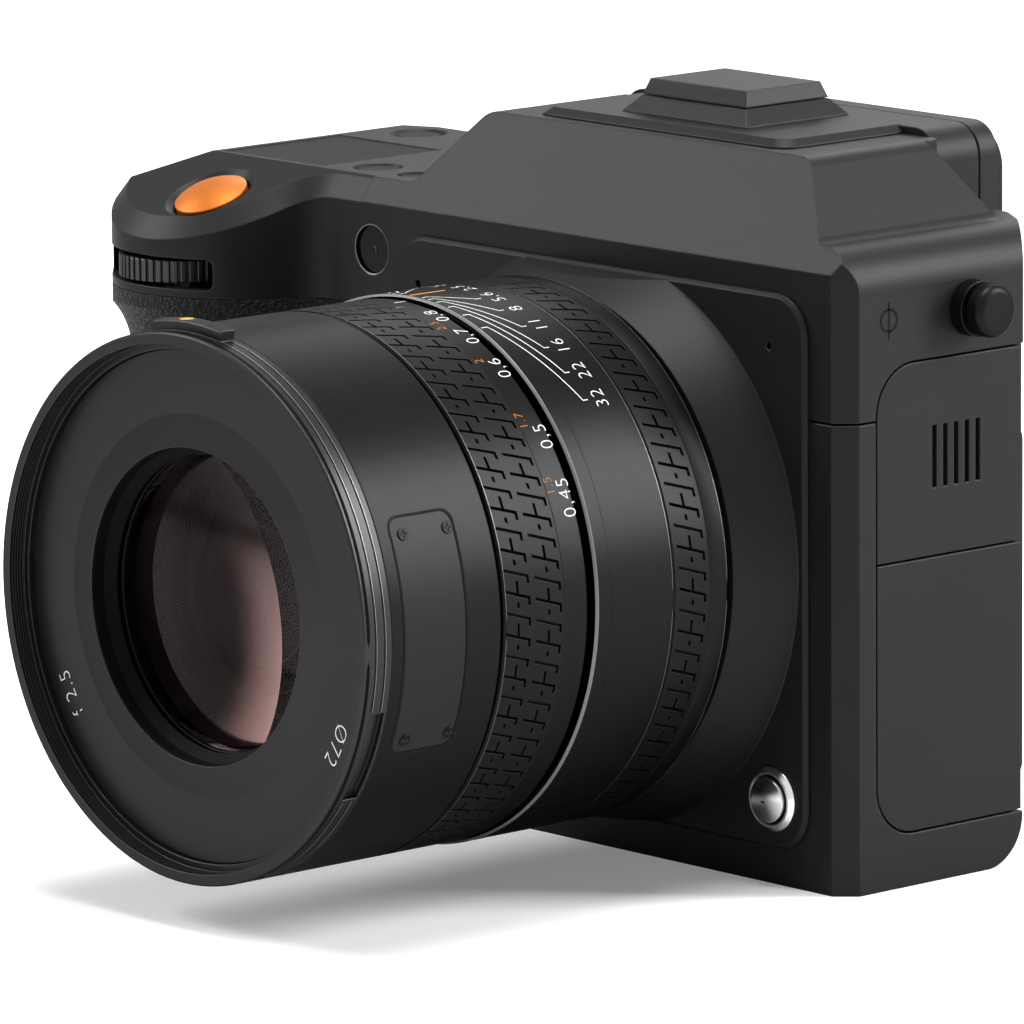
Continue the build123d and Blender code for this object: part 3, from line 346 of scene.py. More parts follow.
# %% Lines left by a turning tool
def from_axis(tree, x, z):
    """The distance from the middle, for a place across and a place up from it."""
    return math_node(tree, "SQRT", math_node(tree, "ADD", math_node(tree, "MULTIPLY", z, z),
                                             math_node(tree, "MULTIPLY", x, x)))


turning, t_in, t_out = new_group("turned_lines", {"Pitch mm": 0.25}, {"Height": "Float"})
axes = add_node(turning, "SeparateXYZ", {0: on_object(turning)}).outputs
up_z = math_node(turning, "SUBTRACT", axes["Z"], AXIS_Z * MM)
along = math_node(turning, "ADD", from_axis(turning, axes["X"], up_z), axes["Y"])
cycles = math_node(turning, "DIVIDE", along,
                   math_node(turning, "MULTIPLY", t_in.outputs["Pitch mm"], MM))
wave = math_node(turning, "SINE", math_node(turning, "MULTIPLY", cycles, 2 * math.pi))
feed(turning, t_out.inputs["Height"], wave)
print("turned lines:", len(turning.nodes), "nodes")

# %% [markdown]
# ## Finishes
# Each finish is one material. The body is aluminium with a dark graphite coat, the lens is
# anodised satin black, the grip is moulded rubber, the release is polished and the shutter
# button is orange anodised. What differs is mostly how rough each surface is and how large
# its grain is, so one recipe with a few values makes all the coated metals.

# %% A recipe for coated metal
def group_node(tree, group, **values):
    """Places a node group and gives its outputs; an underscore stands for a space."""
    inputs = {name.replace("_", " "): value for name, value in values.items()}
    return add_node(tree, "Group", inputs, node_tree=group).outputs


def new_material(name, **values):
    """A material with its constant values set; returns it, its tree and its sockets."""
    mat = bpy.data.materials.new(name)
    mat.use_nodes = True
    sockets = mat.node_tree.nodes["Principled BSDF"].inputs
    for label, value in values.items():
        sockets[label.replace("_", " ")].default_value = value
    return mat, mat.node_tree, sockets


def mixed(tree, factor, first, second, blend_type="MIX"):
    """A mix of two colours, each an output of another node or red, green and blue."""
    first, second = (c if hasattr(c, "is_output") else (*c, 1) for c in (first, second))
    return add_node(tree, "Mix", {"Factor": factor, 6: first, 7: second},
                    data_type="RGBA", blend_type=blend_type).outputs[2]


def bumped(tree, strength, high_mm, height, normal):
    """A normal with a relief laid over it."""
    return add_node(tree, "Bump", {"Strength": strength, "Distance": high_mm * MM,
                                   "Height": height, "Normal": normal}).outputs["Normal"]


def coated_metal(name, color, rough, grain_mm=0.16, bump=0.12, edge=0.35, edge_gain=1.6,
                 specular=0.12, metallic=0.5, glance=0.25, lines=0.0, clouding=0.12):
    """A grainy coat with rubbed corners, and with turned lines where lines is above zero."""
    mat, tree, sockets = new_material(name, Metallic=metallic, Specular_IOR_Level=specular,
                                      Specular_Tint=(glance, glance, glance, 1))
    skin = group_node(tree, grain, Size_mm=grain_mm, Clouding=clouding)
    corners = group_node(tree, corner, Radius_mm=edge)
    toned = mixed(tree, 1.0, color, skin["Tone"], "MULTIPLY")
    rubbed = [min(1, c * edge_gain + 0.004) for c in color]
    feed(tree, sockets["Base Color"], mixed(tree, corners["Mask"], toned, rubbed))
    uneven = math_node(tree, "MULTIPLY", skin["Tone"], 0.10)
    feed(tree, sockets["Roughness"], math_node(tree, "ADD", uneven, rough - 0.10))
    normal = bumped(tree, bump, grain_mm, skin["Height"], corners["Normal"])
    if lines:
        cut = group_node(tree, turning, Pitch_mm=0.22)["Height"]
        normal = bumped(tree, lines, 0.02, cut, normal)
    feed(tree, sockets["Normal"], normal)
    return mat


finish = {
    "graphite": coated_metal("graphite_coat", (0.021, 0.021, 0.0215), 0.42, bump=0.16),
    "plate": coated_metal("black_front_plate", (0.019, 0.019, 0.019), 0.42, bump=0.12),
    "barrel": coated_metal("satin_black_barrel", (0.012, 0.012, 0.0123), 0.36, bump=0.06,
                           metallic=0.75, edge=0.25),
    "ring_cut": coated_metal("black_ring_with_pattern", (0.013, 0.013, 0.0133), 0.38,
                             bump=0.05, metallic=0.7, lines=0.05, edge=0.12),
    "name_ring": coated_metal("satin_name_ring", (0.031, 0.031, 0.0315), 0.34, bump=0.06,
                              metallic=0.75, edge=0.2, lines=0.05),
    "control": coated_metal("black_control", (0.018, 0.018, 0.0183), 0.36, bump=0.06,
                            metallic=0.7, edge=0.25, edge_gain=2.2),
    "dial": coated_metal("satin_dial", (0.055, 0.055, 0.056), 0.34, bump=0.05,
                         metallic=0.8, edge=0.2, edge_gain=2.2),
    "orange": coated_metal("orange_anodised", (0.41, 0.115, 0.018), 0.46, grain_mm=0.12,
                           bump=0.08, edge=0.3, edge_gain=1.15, glance=0.6, clouding=0.05),
    "steel": coated_metal("polished_steel", (0.72, 0.72, 0.73), 0.18, bump=0.02, edge=0.15,
                          edge_gain=1.1, metallic=1.0, glance=1.0, lines=0.12,
                          clouding=0.04),
    "screw": coated_metal("dark_screw_steel", (0.035, 0.035, 0.036), 0.30, bump=0.03,
                          edge=0.1, metallic=1.0, lines=0.10),
    "inner": coated_metal("inner_flat_black", (0.006, 0.006, 0.006), 0.62, bump=0.10,
                          metallic=0.2, edge=0.15),
}
print("coated finishes:", len(finish))

# %% [markdown]
# ## Rubber
# The grip and the eyecup are moulded in a soft black rubber. The grip has a pebbled grain
# like leather, made here from a cell pattern whose cells swell in the middle; the creases
# between them are duller, and painted darker as shade. The eyecup is smooth, with a fine
# grain.

# %% Grip rubber and eyecup rubber
def moulded_rubber(name, color, pebble_mm, bump, rough):
    """Pebbles that swell out of duller creases, which are painted darker as shade."""
    mat, tree, sockets = new_material(name, Specular_IOR_Level=0.10)
    skin = group_node(tree, pebble, Size_mm=pebble_mm)
    corners = group_node(tree, corner, Radius_mm=0.6)
    # The creases are painted darker: painted shade
    crease_shade = [c * 0.45 for c in color]
    feed(tree, sockets["Base Color"], mixed(tree, skin["Crease"], crease_shade, color))
    feed(tree, sockets["Roughness"], spread(tree, skin["Crease"], end=(rough + 0.12, rough)))
    feed(tree, sockets["Normal"], bumped(tree, bump, pebble_mm * 0.25, skin["Height"],
                                         corners["Normal"]))
    return mat


finish["grip"] = moulded_rubber("pebbled_grip_rubber", (0.020, 0.020, 0.020), 0.85, 1.0, 0.55)
finish["eyecup"] = moulded_rubber("eyecup_rubber", (0.016, 0.016, 0.016), 0.30, 0.35, 0.62)
print("finishes so far:", len(finish))

# %% [markdown]
# ## Glass and ink
# Camera glass is coated against reflections, which leaves a faint magenta tint that grows
# towards its edge. The small display windows are smoked glass over a dark panel, so they
# are a glossy black that lets nothing through. A faint haze keeps such a surface from
# looking like a computer's flat colour, and the paint in the engraved figures has it too.

# %% Coated glass, smoked windows and ink
def coated_glass(name, tint, coat_tint):
    """Clear glass, tinted by its coat where it is seen at a slant."""
    mat, tree, sockets = new_material(
        name, Roughness=0.0, Transmission_Weight=1.0, IOR=1.12, Specular_IOR_Level=0.2,
        Specular_Tint=(*coat_tint, 1))
    slant = add_node(tree, "LayerWeight", {"Blend": 0.35}).outputs["Facing"]
    feed(tree, sockets["Base Color"], mixed(tree, slant, tint, coat_tint))
    return mat


def hazed(name, color, rough, metallic=0.0):
    """Smoked glass or paint, with a faint haze in its tone and its gloss."""
    mat, tree, sockets = new_material(name, Metallic=metallic, Specular_IOR_Level=0.05,
                                      Specular_Tint=(0.12, 0.12, 0.12, 1))
    haze = noise(tree, 60.0, 3.0)["Fac"]
    feed(tree, sockets["Roughness"], spread(tree, haze, end=(rough, rough + 0.10)))
    feed(tree, sockets["Base Color"], mixed(tree, haze, [c * 0.85 for c in color],
                                            [c * 1.15 for c in color]))
    return mat


finish["front_glass"] = coated_glass("coated_front_glass", (0.97, 0.97, 0.98),
                                     (0.80, 0.45, 0.50))
finish["window"] = hazed("smoked_display_window", (0.016, 0.016, 0.017), 0.18, metallic=0.8)
# A brighter grey that paints highlights on edges, lips and thread turns where they catch the
# light
finish["edge_light"] = coated_metal("painted_edge_highlight", (0.16, 0.16, 0.16), 0.34, bump=0.03,
                                    specular=0.5, edge=0.1)
finish["ink"] = hazed("white_scale_ink", (0.74, 0.74, 0.73), 0.45)
finish["dull_amber_ink"] = hazed("dull_amber_scale_ink", (0.40, 0.16, 0.04), 0.5)
finish["amber_ink"] = hazed("amber_scale_ink", (0.66, 0.24, 0.04), 0.45)
print("finishes:", len(finish))

# %% [markdown]
# ## Dressing the CAD parts
# The solids that already have the right shape keep it and only get a finish. The table
# below says which finish goes on which part, and it is read once.

# %% Which finish goes where
dressed = {
    "graphite": ["chassis", "top_cover", "rear_shell", "base_plate", "speaker_panel",
                 "card_door", "evf_housing", "grip_core", "shoe_plate", "hot_shoe",
                 "shoe_cover"],
    "plate": ["front_plate", "battery", "battery_lever", "card_slot_unit", "rear_display",
              "display_hinge_bracket", "nameplate"],
    "barrel": ["front_barrel", "scale_ring", "strap_lugs"],
    "name_ring": ["front_rim", "name_ring"],
    "inner": ["lens_tube", "sensor", "circuit_board"],
    "dial": ["front_dial", "rear_dial"],
    "control": ["top_button_rear", "top_button_middle", "top_button_front",
                *(f"rear_button_{i}" for i in range(1, 5))],
    "orange": ["shutter_button"],
    "steel": ["mount_ring", "lens_bayonet", "release_bezel", "release_button",
              "tripod_bush", "dial_shafts", "focus_sleeve"],
    "screw": ["base_screws", "mount_screws", *(f"shutter_blade_{i}" for i in range(1, 6))],
    "grip": ["grip_rubber"],
    "eyecup": ["eyecup"],
    "front_glass": ["front_glass", "rear_glass", "eyepiece_lens"],
    "window": ["top_display_window", "display_glass", "af_lamp_window"],
    "ring_cut": ["focus_ring", "control_ring"],
}
for kind, nodes_of_kind in dressed.items():
    for node_name in nodes_of_kind:
        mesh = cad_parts[node_name].data
        mesh.materials.clear()
        mesh.materials.append(finish[kind])
print("dressed:", sum(len(v) for v in dressed.values()), "of", len(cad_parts))


# %% [markdown]
# ## The gripping pattern of the rings
# The two rings that are turned by hand carry a pattern of slots, milled at a slant so that
# a finger finds hold in every direction. A milling machine cuts one unit of the pattern,
# turns the ring by one step and cuts it again. The same is done here: one unit is a small
# flat sheet whose slots are pressed in, an array repeats it, and the strip is then wrapped
# round the axis. The plain part of each ring is turned on a lathe, here with a spin.

# %% Sizes of the pattern
UNITS = 41                          # units of the pattern round a ring
UNIT = 360.0 / UNITS                # degrees of one unit, which holds two slots
SLOT = 0.42                         # width of a slot, in millimetres
SLOT_DEEP = 0.45
SLANT = 0.46                        # degrees that a slot falls back per millimetre
BAR_UP = (0.32, 2.90)               # degrees, the bar that rises from the first slot
BAR_APART = (6.08, 7.20)            # the short bar that stands alone
HOOK_FIRST = (7.20, 8.46)           # the hooks at the rear ends of both slots
HOOK_SECOND = (2.90, 4.07)
SECOND_SLOT = (4.07, 4.71)


def between(value, span):
    return span[0] < value < span[1]


def in_slot(angle, depth, row):
    """Whether this place in a unit is cut away; row holds the first and last depth."""
    middle = (row[0] + row[1]) / 2
    if not between(depth, row):
        return False
    if angle < BAR_UP[0] or angle > HOOK_FIRST[1] or between(angle, SECOND_SLOT):
        return True
    if depth > row[1] - SLOT and (between(angle, HOOK_FIRST) or between(angle, HOOK_SECOND)):
        return True
    at_bar = abs(depth - middle) < SLOT / 2
    return at_bar and (between(angle, BAR_UP) or between(angle, BAR_APART))


print("slots on a ring and row:", 2 * UNITS)

# %% Wrapping and turning helpers
WELD = 0.002 * MM                   # points closer than this become one


def new_piece(name, points, edges, faces, material):
    """A new object from points in metres; edit-mode tools shape it afterwards."""
    mesh = bpy.data.meshes.new(name)
    mesh.from_pydata(points, edges, faces)
    obj = bpy.data.objects.new(name, mesh)
    bpy.context.scene.collection.objects.link(obj)
    mesh.materials.append(material)
    return obj


def edit_all(obj):
    """Goes into edit mode with everything selected."""
    pick_up(obj)
    go_to("EDIT")
    bpy.ops.mesh.select_all(action="SELECT")


def even_faces(obj):
    """Makes the faces of a piece agree with their neighbours on which side is outside."""
    edit_all(obj)
    bpy.ops.mesh.normals_make_consistent(inside=False)
    go_to("OBJECT")


def wrap(obj, radius):
    """Rolls a flat sheet round the lens axis: x is degrees, y is depth, z is height."""
    for point in obj.data.vertices:
        angle, depth, rise = point.co
        point.co = on_barrel(radius + rise, depth, angle - SLANT * depth)


def turned(name, outline, material, body=None, steps=160, axis=(0, AXIS_Z), smooth=30):
    """Spins an outline of (radius, depth) pairs round an axis from front to back."""
    x, z = axis
    points = [place(x + r, d, z) for r, d in outline]
    edges = [(i, (i + 1) % len(points)) for i in range(len(points))]
    obj = new_piece(name, points, edges, [], material)
    edit_all(obj)
    bpy.ops.mesh.spin(steps=steps, angle=2 * math.pi, center=place(x, 0, z), axis=(0, 1, 0))
    bpy.ops.mesh.select_all(action="SELECT")
    bpy.ops.mesh.remove_doubles(threshold=WELD)
    bpy.ops.mesh.normals_make_consistent(inside=False)
    go_to("OBJECT")
    bpy.ops.object.shade_smooth_by_angle(angle=math.radians(smooth))
    if body:
        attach(obj, body)
    return obj


# %% A ring with its pattern
CHAMFER = 0.3                       # length of the chamfers at both ends of a ring
NOSE = 0.35                         # height of the chamfer at its front end
BAND_RISE = 0.12                    # length of the chamfer between pattern and band
FLOOR_GAP = 0.1                     # from a slot's floor down to the solid ring


def patterned_sheet(name, rows, ends, material):
    """One flat unit of the pattern with its slots pressed in, repeated and not yet wrapped."""
    columns = sorted({0.0, BAR_UP[0], *HOOK_SECOND, *SECOND_SLOT, *BAR_APART, *HOOK_FIRST,
                      UNIT})
    lines = set(ends)
    for first, last in rows:
        middle = (first + last) / 2
        lines |= {first, middle - SLOT / 2, middle + SLOT / 2, last - SLOT, last}
    lines = sorted(lines)
    wide = len(lines)
    points = [(a, d, 0.0) for a in columns for d in lines]
    faces = [(i * wide + j, (i + 1) * wide + j, (i + 1) * wide + j + 1, i * wide + j + 1)
             for i in range(len(columns) - 1) for j in range(wide - 1)]
    sheet = new_piece(name, points, [], faces, material)
    pick_faces(sheet, lambda c, n: any(in_slot(c.x, c.y, row) for row in rows))
    bpy.ops.mesh.extrude_region_move(TRANSFORM_OT_translate={"value": (0, 0, -SLOT_DEEP)})
    # The floors of the slots get the darker, duller flat black of the lens's inside: painted
    # shade
    sheet.data.materials.append(finish["inner"])
    sheet.active_material_index = 1
    bpy.ops.object.material_slot_assign()
    go_to("OBJECT")
    apply_modifier(sheet, "ARRAY", count=UNITS, use_relative_offset=False,
                   use_constant_offset=True, constant_offset_displace=(UNIT, 0, 0))
    return sheet


def hand_ring(name, node, body, rows, band, sunk):
    """A complete ring in one mesh; its pattern lies sunk below the band that follows it."""
    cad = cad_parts[node].data
    radii = [math.hypot(v.co.x, v.co.z - AXIS_Z * MM) / MM for v in cad.vertices]
    depths = [v.co.y / MM - FRONT for v in cad.vertices]
    outer, bore = max(radii), min(radii)
    front, rear = min(depths), max(depths)
    face = outer - sunk
    floor_r = face - SLOT_DEEP - FLOOR_GAP
    sheet = patterned_sheet(name, rows, (front + CHAMFER, band), finish["ring_cut"])
    wrap(sheet, face)
    core = turned(name + "_core", [
        (bore, front), (outer - NOSE, front), (face, front + CHAMFER),
        (floor_r, front + CHAMFER), (floor_r, band), (face, band),
        (outer, band + BAND_RISE), (outer, rear - CHAMFER), (outer - CHAMFER, rear),
        (bore, rear)], finish["barrel"])
    pick_up(core)
    sheet.select_set(True)
    bpy.context.view_layer.objects.active = sheet
    bpy.ops.object.join()
    edit_all(sheet)
    bpy.ops.mesh.remove_doubles(threshold=2 * WELD)
    go_to("OBJECT")
    bpy.ops.object.shade_smooth_by_angle(angle=math.radians(32))
    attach(sheet, body)
    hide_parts(node)
    return sheet


# %% [markdown]
# ## The focus ring and the control ring
# The focus ring has two rows of the pattern and then a smooth band for its distance scale.
# The control ring is shorter and has one row. Both bands end in a small chamfer, which
# catches a thin line of light.

# %% Make both rings
focus_knurl = hand_ring("focus_ring_grip", "focus_ring", "focus_collar",
                        [(-51.9, -47.5), (-46.5, -41.9)], -41.4, 0.0)
control_knurl = hand_ring("control_ring_grip", "control_ring", "control_collar",
                          [(-20.7, -15.7)], -15.0, 0.05)
print("faces:", len(focus_knurl.data.polygons), len(control_knurl.data.polygons))

# %% [markdown]
# ## Printed and filled figures
# The scales of a lens are engraved and filled with paint. Here a figure is typed as text,
# turned into a mesh and then bent onto the surface that carries it: round the barrel, or
# round the front ring. The paint stands proud by a few hundredths of a millimetre.

# %% Helpers for figures and lines
INK = 0.03                          # how far the paint stands proud, in millimetres
LINE_STEP = 1.5                     # degrees between the points of a painted line


def typed(name, words, height, material, slim=0.95):
    """Flat words as a mesh, centred on the origin, with their feet at y = 0."""
    deselect_all()
    bpy.ops.object.text_add(location=(0, 0, 0))
    text = bpy.context.object
    text.data.body = words
    text.data.align_x = "CENTER"
    text.data.size = height
    text.data.resolution_u = 4
    text.data.offset = -0.02 * height
    text.data.space_character = 1.12
    bpy.ops.object.convert(target="MESH")
    text.name = name
    tall = max(v.co.y for v in text.data.vertices)
    text.scale = (slim * height / tall, height / tall, 1)
    put_down(text)
    text.data.materials.clear()
    text.data.materials.append(material)
    return text


def on_ring(name, words, height, radius, foot, centre, material, body):
    """Words round the barrel that read upwards, with their tops towards the front."""
    text = typed(name, words, height, material)
    for point in text.data.vertices:
        x, y = point.co.x, point.co.y
        point.co = on_barrel(radius + INK, foot - y, centre + math.degrees(x / radius))
    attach(text, body)
    return text


def painted_line(name, points, width, radius, material, body, closed=False):
    """A painted line through (angle, depth) points round the barrel."""
    route = list(points) + ([points[0]] if closed else [])
    fine = []
    for (a0, d0), (a1, d1) in zip(route, route[1:]):
        count = max(1, int(abs(a1 - a0) / LINE_STEP))
        fine += [(a0 + (a1 - a0) * i / count, d0 + (d1 - d0) * i / count)
                 for i in range(count)]
    fine.append(route[-1])
    arc = math.radians(1) * radius
    sides = []
    for i, (a, d) in enumerate(fine):
        before, after = fine[max(0, i - 1)], fine[min(len(fine) - 1, i + 1)]
        if closed and i in (0, len(fine) - 1):
            before, after = fine[-2], fine[1]
        along = Vector(((after[0] - before[0]) * arc, after[1] - before[1])).normalized()
        step = Vector((-along.y / arc, along.x)) * width / 2
        sides += [on_barrel(radius + INK, d + step.y, a + step.x),
                  on_barrel(radius + INK, d - step.y, a - step.x)]
    quads = [(i, i + 1, i + 3, i + 2) for i in range(0, len(sides) - 2, 2)]
    line = new_piece(name, sides, [], quads, material)
    even_faces(line)
    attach(line, body)
    return line


def round_line(name, depth, width, radius, material, body="lens"):
    """A painted line all the way round the barrel."""
    return painted_line(name, [(a, depth) for a in range(0, 360, 3)], width, radius,
                        material, body, closed=True)


# %% [markdown]
# ## Distance scale and depth scale
# Metres are white and feet are amber on the focus ring. Behind it, a fixed ring shows the
# depth of the sharp zone: from every aperture figure a line runs forward and in towards
# the amber index at the top, and the same lines come back on the other side.

# %% Distances on the focus ring
FOCUS_R = 37.6
metres = {"0,45": 23.3, "0,5": 37.0, "0,6": 55.3, "0,7": 66.6, "0,8": 76.5, "1": 88.0,
          "1,5": 103.0, "3": 121.0}
feet = {"1.5": 26.2, "1.7": 41.2, "2": 58.0, "2.5": 72.0, "3": 84.0, "5": 105.0}
for words, angle in metres.items():
    on_ring("metres_" + words.replace(",", "_"), words, 2.1, FOCUS_R, -37.2, angle,
            finish["ink"], "focus_collar")
for words, angle in feet.items():
    on_ring("feet_" + words.replace(".", "_"), words, 1.4, FOCUS_R, -39.9, angle,
            finish["dull_amber_ink"], "focus_collar")
print("distances:", len(metres), "in metres and", len(feet), "in feet")

# %% Depth scale on the fixed ring
SCALE_R = 38.0
FIGURE_FOOT = -24.7                 # depth of the aperture figures' feet
LINE_DEPTHS = (-27.9, -28.75, -34.1, -35.2)
apertures = (("32", 43.3, 67.7), ("22", 50.7, 73.7), ("16", 58.3, 78.4), ("11", 66.0, 82.0),
             ("8", 73.3, 84.5), ("5,6", 80.5, 86.5))
for words, outer_angle, inner_angle in apertures:
    for side, far, near in (("_right", outer_angle, inner_angle),
                            ("_left", 180 - outer_angle, 180 - inner_angle)):
        tag = words.replace(",", "_") + side
        on_ring("aperture_" + tag, words, 2.1, SCALE_R, FIGURE_FOOT, far, finish["ink"],
                "lens")
        painted_line("depth_line_" + tag, list(zip((far, far, near, near), LINE_DEPTHS)),
                     0.15, SCALE_R, finish["ink"], "lens")
on_ring("aperture_2_5", "2,5", 2.1, SCALE_R, FIGURE_FOOT, 89.5, finish["ink"], "lens")
painted_line("distance_index", [(90.0, -35.3), (90.0, -28.9)], 0.35, SCALE_R,
             finish["amber_ink"], "lens")
print("apertures:", len(apertures))

# %% [markdown]
# ## Painted highlights on the edges between the rings
# The scale ring reaches forward over the focus ring as a thin sleeve, which the focus ring
# slides under when it is pulled back. The light that its chamfer catches is painted on it as
# a brighter grey, and so is the light on the fine edges where two rings meet.

# %% The sleeve and the painted edge highlights
SLEEVE_IN = 37.74                   # radius under the sleeve
SLEEVE_OUT = SCALE_R + 0.02
SLEEVE_BACK = -33.2
turned("scale_sleeve", [(SLEEVE_IN, -35.9), (SLEEVE_OUT, -35.62), (SLEEVE_OUT, SLEEVE_BACK),
                        (SLEEVE_IN, SLEEVE_BACK)], finish["barrel"], "lens")
# The sleeve's chamfer is painted brighter: a painted highlight
turned("scale_sleeve_edge_highlight", [(37.71, -35.98), (37.77, -35.98), (SCALE_R + 0.05, -35.68),
                             (SCALE_R + 0.03, -35.56)], finish["edge_light"], "lens")
painted_highlight_edges = (("scale_rear_edge_highlight", -22.0, SCALE_R, "lens"),
                ("focus_front_edge_highlight", -51.95, FOCUS_R, "focus_collar"),
                ("control_rear_edge_highlight", -11.95, SCALE_R, "control_collar"))
# Thin lines of painted highlight where the rings' edges catch the light
for name, depth, radius, body in painted_highlight_edges:
    round_line(name, depth, 0.13, radius, finish["edge_light"], body)
round_line("control_gap", -21.7, 0.4, SCALE_R, finish["inner"])
print("bright edges:", len(painted_highlight_edges) + 1)

# %% [markdown]
# ## The front rim
# The rim carries a bayonet for the hood. Fine grooves run round it, each a dark line with a
# thin painted highlight along its lip; they stop at the bayonet's two slots. An orange dot on
# the index tab shows where the hood goes on. Inside, the filter thread shows only as the
# light on a few of its turns, painted as thin bright rings and not cut as a helix.

# %% Grooves, dot and filter thread
RIM_R = 37.6
THREAD_R, THREAD_PITCH, THREAD_TURNS = 35.9, 0.45, 5
round_line("rim_groove_1", -76.35, 0.5, RIM_R, finish["inner"])
between_slots = (("a", range(-14, 195, 2)), ("b", range(216, 325, 2)))
for i, depth in enumerate((-75.1, -73.5)):
    for tag, angles in between_slots:
        painted_line(f"rim_groove_{i + 2}{tag}", [(a, depth) for a in angles], 0.22, RIM_R,
                     finish["inner"], "lens")
        # A thin painted highlight beside each groove, where its lip catches the light
        painted_line(f"rim_lip_highlight_{i + 2}{tag}", [(a, depth + 0.19) for a in angles], 0.09,
                     RIM_R, finish["edge_light"], "lens")
DOT_ANGLE, DOT_DEPTH = 92.0, -74.0
dot_ring = [(DOT_ANGLE + 0.75 * math.cos(t * math.pi / 12),
             DOT_DEPTH + 0.5 * math.sin(t * math.pi / 12)) for t in range(24)]
painted_line("hood_dot", dot_ring, 1.0, RIM_R + 1.5, finish["amber_ink"], "lens",
             closed=True)
# The turns of the filter thread as rings of painted highlight
for i in range(THREAD_TURNS):
    round_line(f"filter_thread_highlight_{i + 1}", -76.7 + THREAD_PITCH * i, 0.13, THREAD_R,
               finish["edge_light"])
print("turns of thread:", THREAD_TURNS)

# %% [markdown]
# ## Figures on the front ring
# The flat ring in front of the glass carries the filter size and the widest aperture. The
# letters run clockwise with their tops outwards and lie on a shallow cone, so each point
# is dropped onto the ring below it.

# %% Filter size and aperture
def on_front_ring(name, words, height, radius, centre):
    """Words round the front ring, dropped onto it from in front."""
    text = typed(name, words, height, finish["ink"])
    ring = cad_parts["name_ring"]
    for point in text.data.vertices:
        x, y = point.co.x, point.co.y
        above = on_barrel(radius + y, -80.0, centre - math.degrees(x / radius))
        hit, spot, _, _ = ring.ray_cast(above, Vector((0, 1, 0)))
        point.co = spot - Vector((0, INK * MM, 0)) if hit else above
    even_faces(text)
    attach(text, "lens")
    return text


for figures in (on_front_ring("filter_size", "Ø72", 2.3, 30.6, -28.0),
                on_front_ring("widest_aperture", "f 2.5", 2.3, 30.4, -150.0)):
    print(figures.name, "has", len(figures.data.polygons), "faces")

# %% [markdown]
# ## Glass deep inside the lens
# Looking into a fast lens, the eye meets several coated surfaces one behind the other. Each
# throws back a part of the light as a coloured crescent. Here those reflections are painted:
# a thin see-through sheet that follows the front glass carries a painted crescent reflection,
# and behind it stands a smaller dome of dark glass with a painted crescent of its own. Black
# baffle rings, a liner and the fine rings of the elements behind give the opening its depth.

# %% A painted reflection in the shape of a crescent
def painted_crescent_reflection(name, low, high, centre, radius, width, under=None):
    """A painted reflection: a mirror sheet that grows towards an arc and ends there.

    The arc is drawn round centre, in millimetres from the lens axis; the painted reflection is
    coloured low under the axis and high above it. It lies on dark glass of the colour under,
    and with no such colour it is see-through."""
    mat, tree, sockets = new_material(name, Metallic=1.0, Roughness=0.10,
                                      Specular_Tint=(0.2, 0.1, 0.15, 1))
    axes = add_node(tree, "SeparateXYZ", {0: on_object(tree)}).outputs
    across = math_node(tree, "SUBTRACT", axes["X"], centre[0] * MM)
    rise = math_node(tree, "SUBTRACT", axes["Z"], (AXIS_Z + centre[1]) * MM)
    reach = from_axis(tree, across, rise)
    grow = spread(tree, reach, start=((radius - width) * MM, radius * MM))
    mask = math_node(tree, "MULTIPLY", math_node(tree, "POWER", grow, 2.4),
                     math_node(tree, "LESS_THAN", reach, radius * MM))
    height = spread(tree, axes["Z"], start=((AXIS_Z - 14) * MM, (AXIS_Z + 14) * MM))
    # coat is the colour of the painted reflection, lighter under the axis than above it
    coat = mixed(tree, height, low, high)
    if under is None:
        feed(tree, sockets["Base Color"], coat)
        feed(tree, sockets["Alpha"], mask)
    else:
        feed(tree, sockets["Base Color"], mixed(tree, mask, under, coat))
    return mat


# Painted reflections: coloured crescents painted on the second element and on a sheet over the
# front glass
deep_painted_reflection = painted_crescent_reflection("deep_magenta_painted_reflection", (0.06, 0.055, 0.05), (0.03, 0.03, 0.03),
                          (-22.4, -5.7), 24.5, 15.0, under=(0.0015, 0.0015, 0.0015))
front_painted_reflection = painted_crescent_reflection("front_painted_reflection", (0.27, 0.165, 0.15), (0.04, 0.033, 0.035),
                           (-11.8, -2.9), 25.3, 9.5)
print("coats:", deep_painted_reflection.name, front_painted_reflection.name)

# %% The painted reflection sheet, the second element and the baffles
FRONT_GLASS_BALL = 94.7                    # radius of the front glass's face
DOME_R, DOME_FRONT, DOME_RISE = 17.0, -61.5, 4.6
bulge = [(r + 0.01, -71.68 + r * r / (2 * FRONT_GLASS_BALL)) for r in range(0, 21, 2)]
# A thin see-through sheet on the front glass that carries the painted crescent reflection
front_glass_reflection_sheet = turned("front_glass_reflection_sheet", bulge + [(r, d + 0.02) for r, d in reversed(bulge)],
                    front_painted_reflection, "lens", steps=128)
bend = (DOME_R ** 2 + DOME_RISE ** 2) / (2 * DOME_RISE)
dome_steps = [DOME_R * i / 14 for i in range(1, 15)]
dome_back = DOME_FRONT + DOME_RISE + 1.0
dome_outline = [(0.05, DOME_FRONT)]
dome_outline += [(r, DOME_FRONT + bend - math.sqrt(bend ** 2 - r ** 2)) for r in dome_steps]
dome_outline += [(DOME_R, dome_back), (0.05, dome_back)]
turned("second_element", dome_outline, deep_painted_reflection, "lens", steps=96)
turned("lens_baffles", [
    (30.2, -63.9), (22.2, -63.9), (21.2, -63.2), (20.2, -63.2), (19.6, -61.4), (18.4, -61.4),
    (17.9, -58.6), (DOME_R + 0.1, -58.6), (DOME_R + 0.1, -55.6), (30.2, -55.6)],
    finish["inner"], "lens", steps=128)
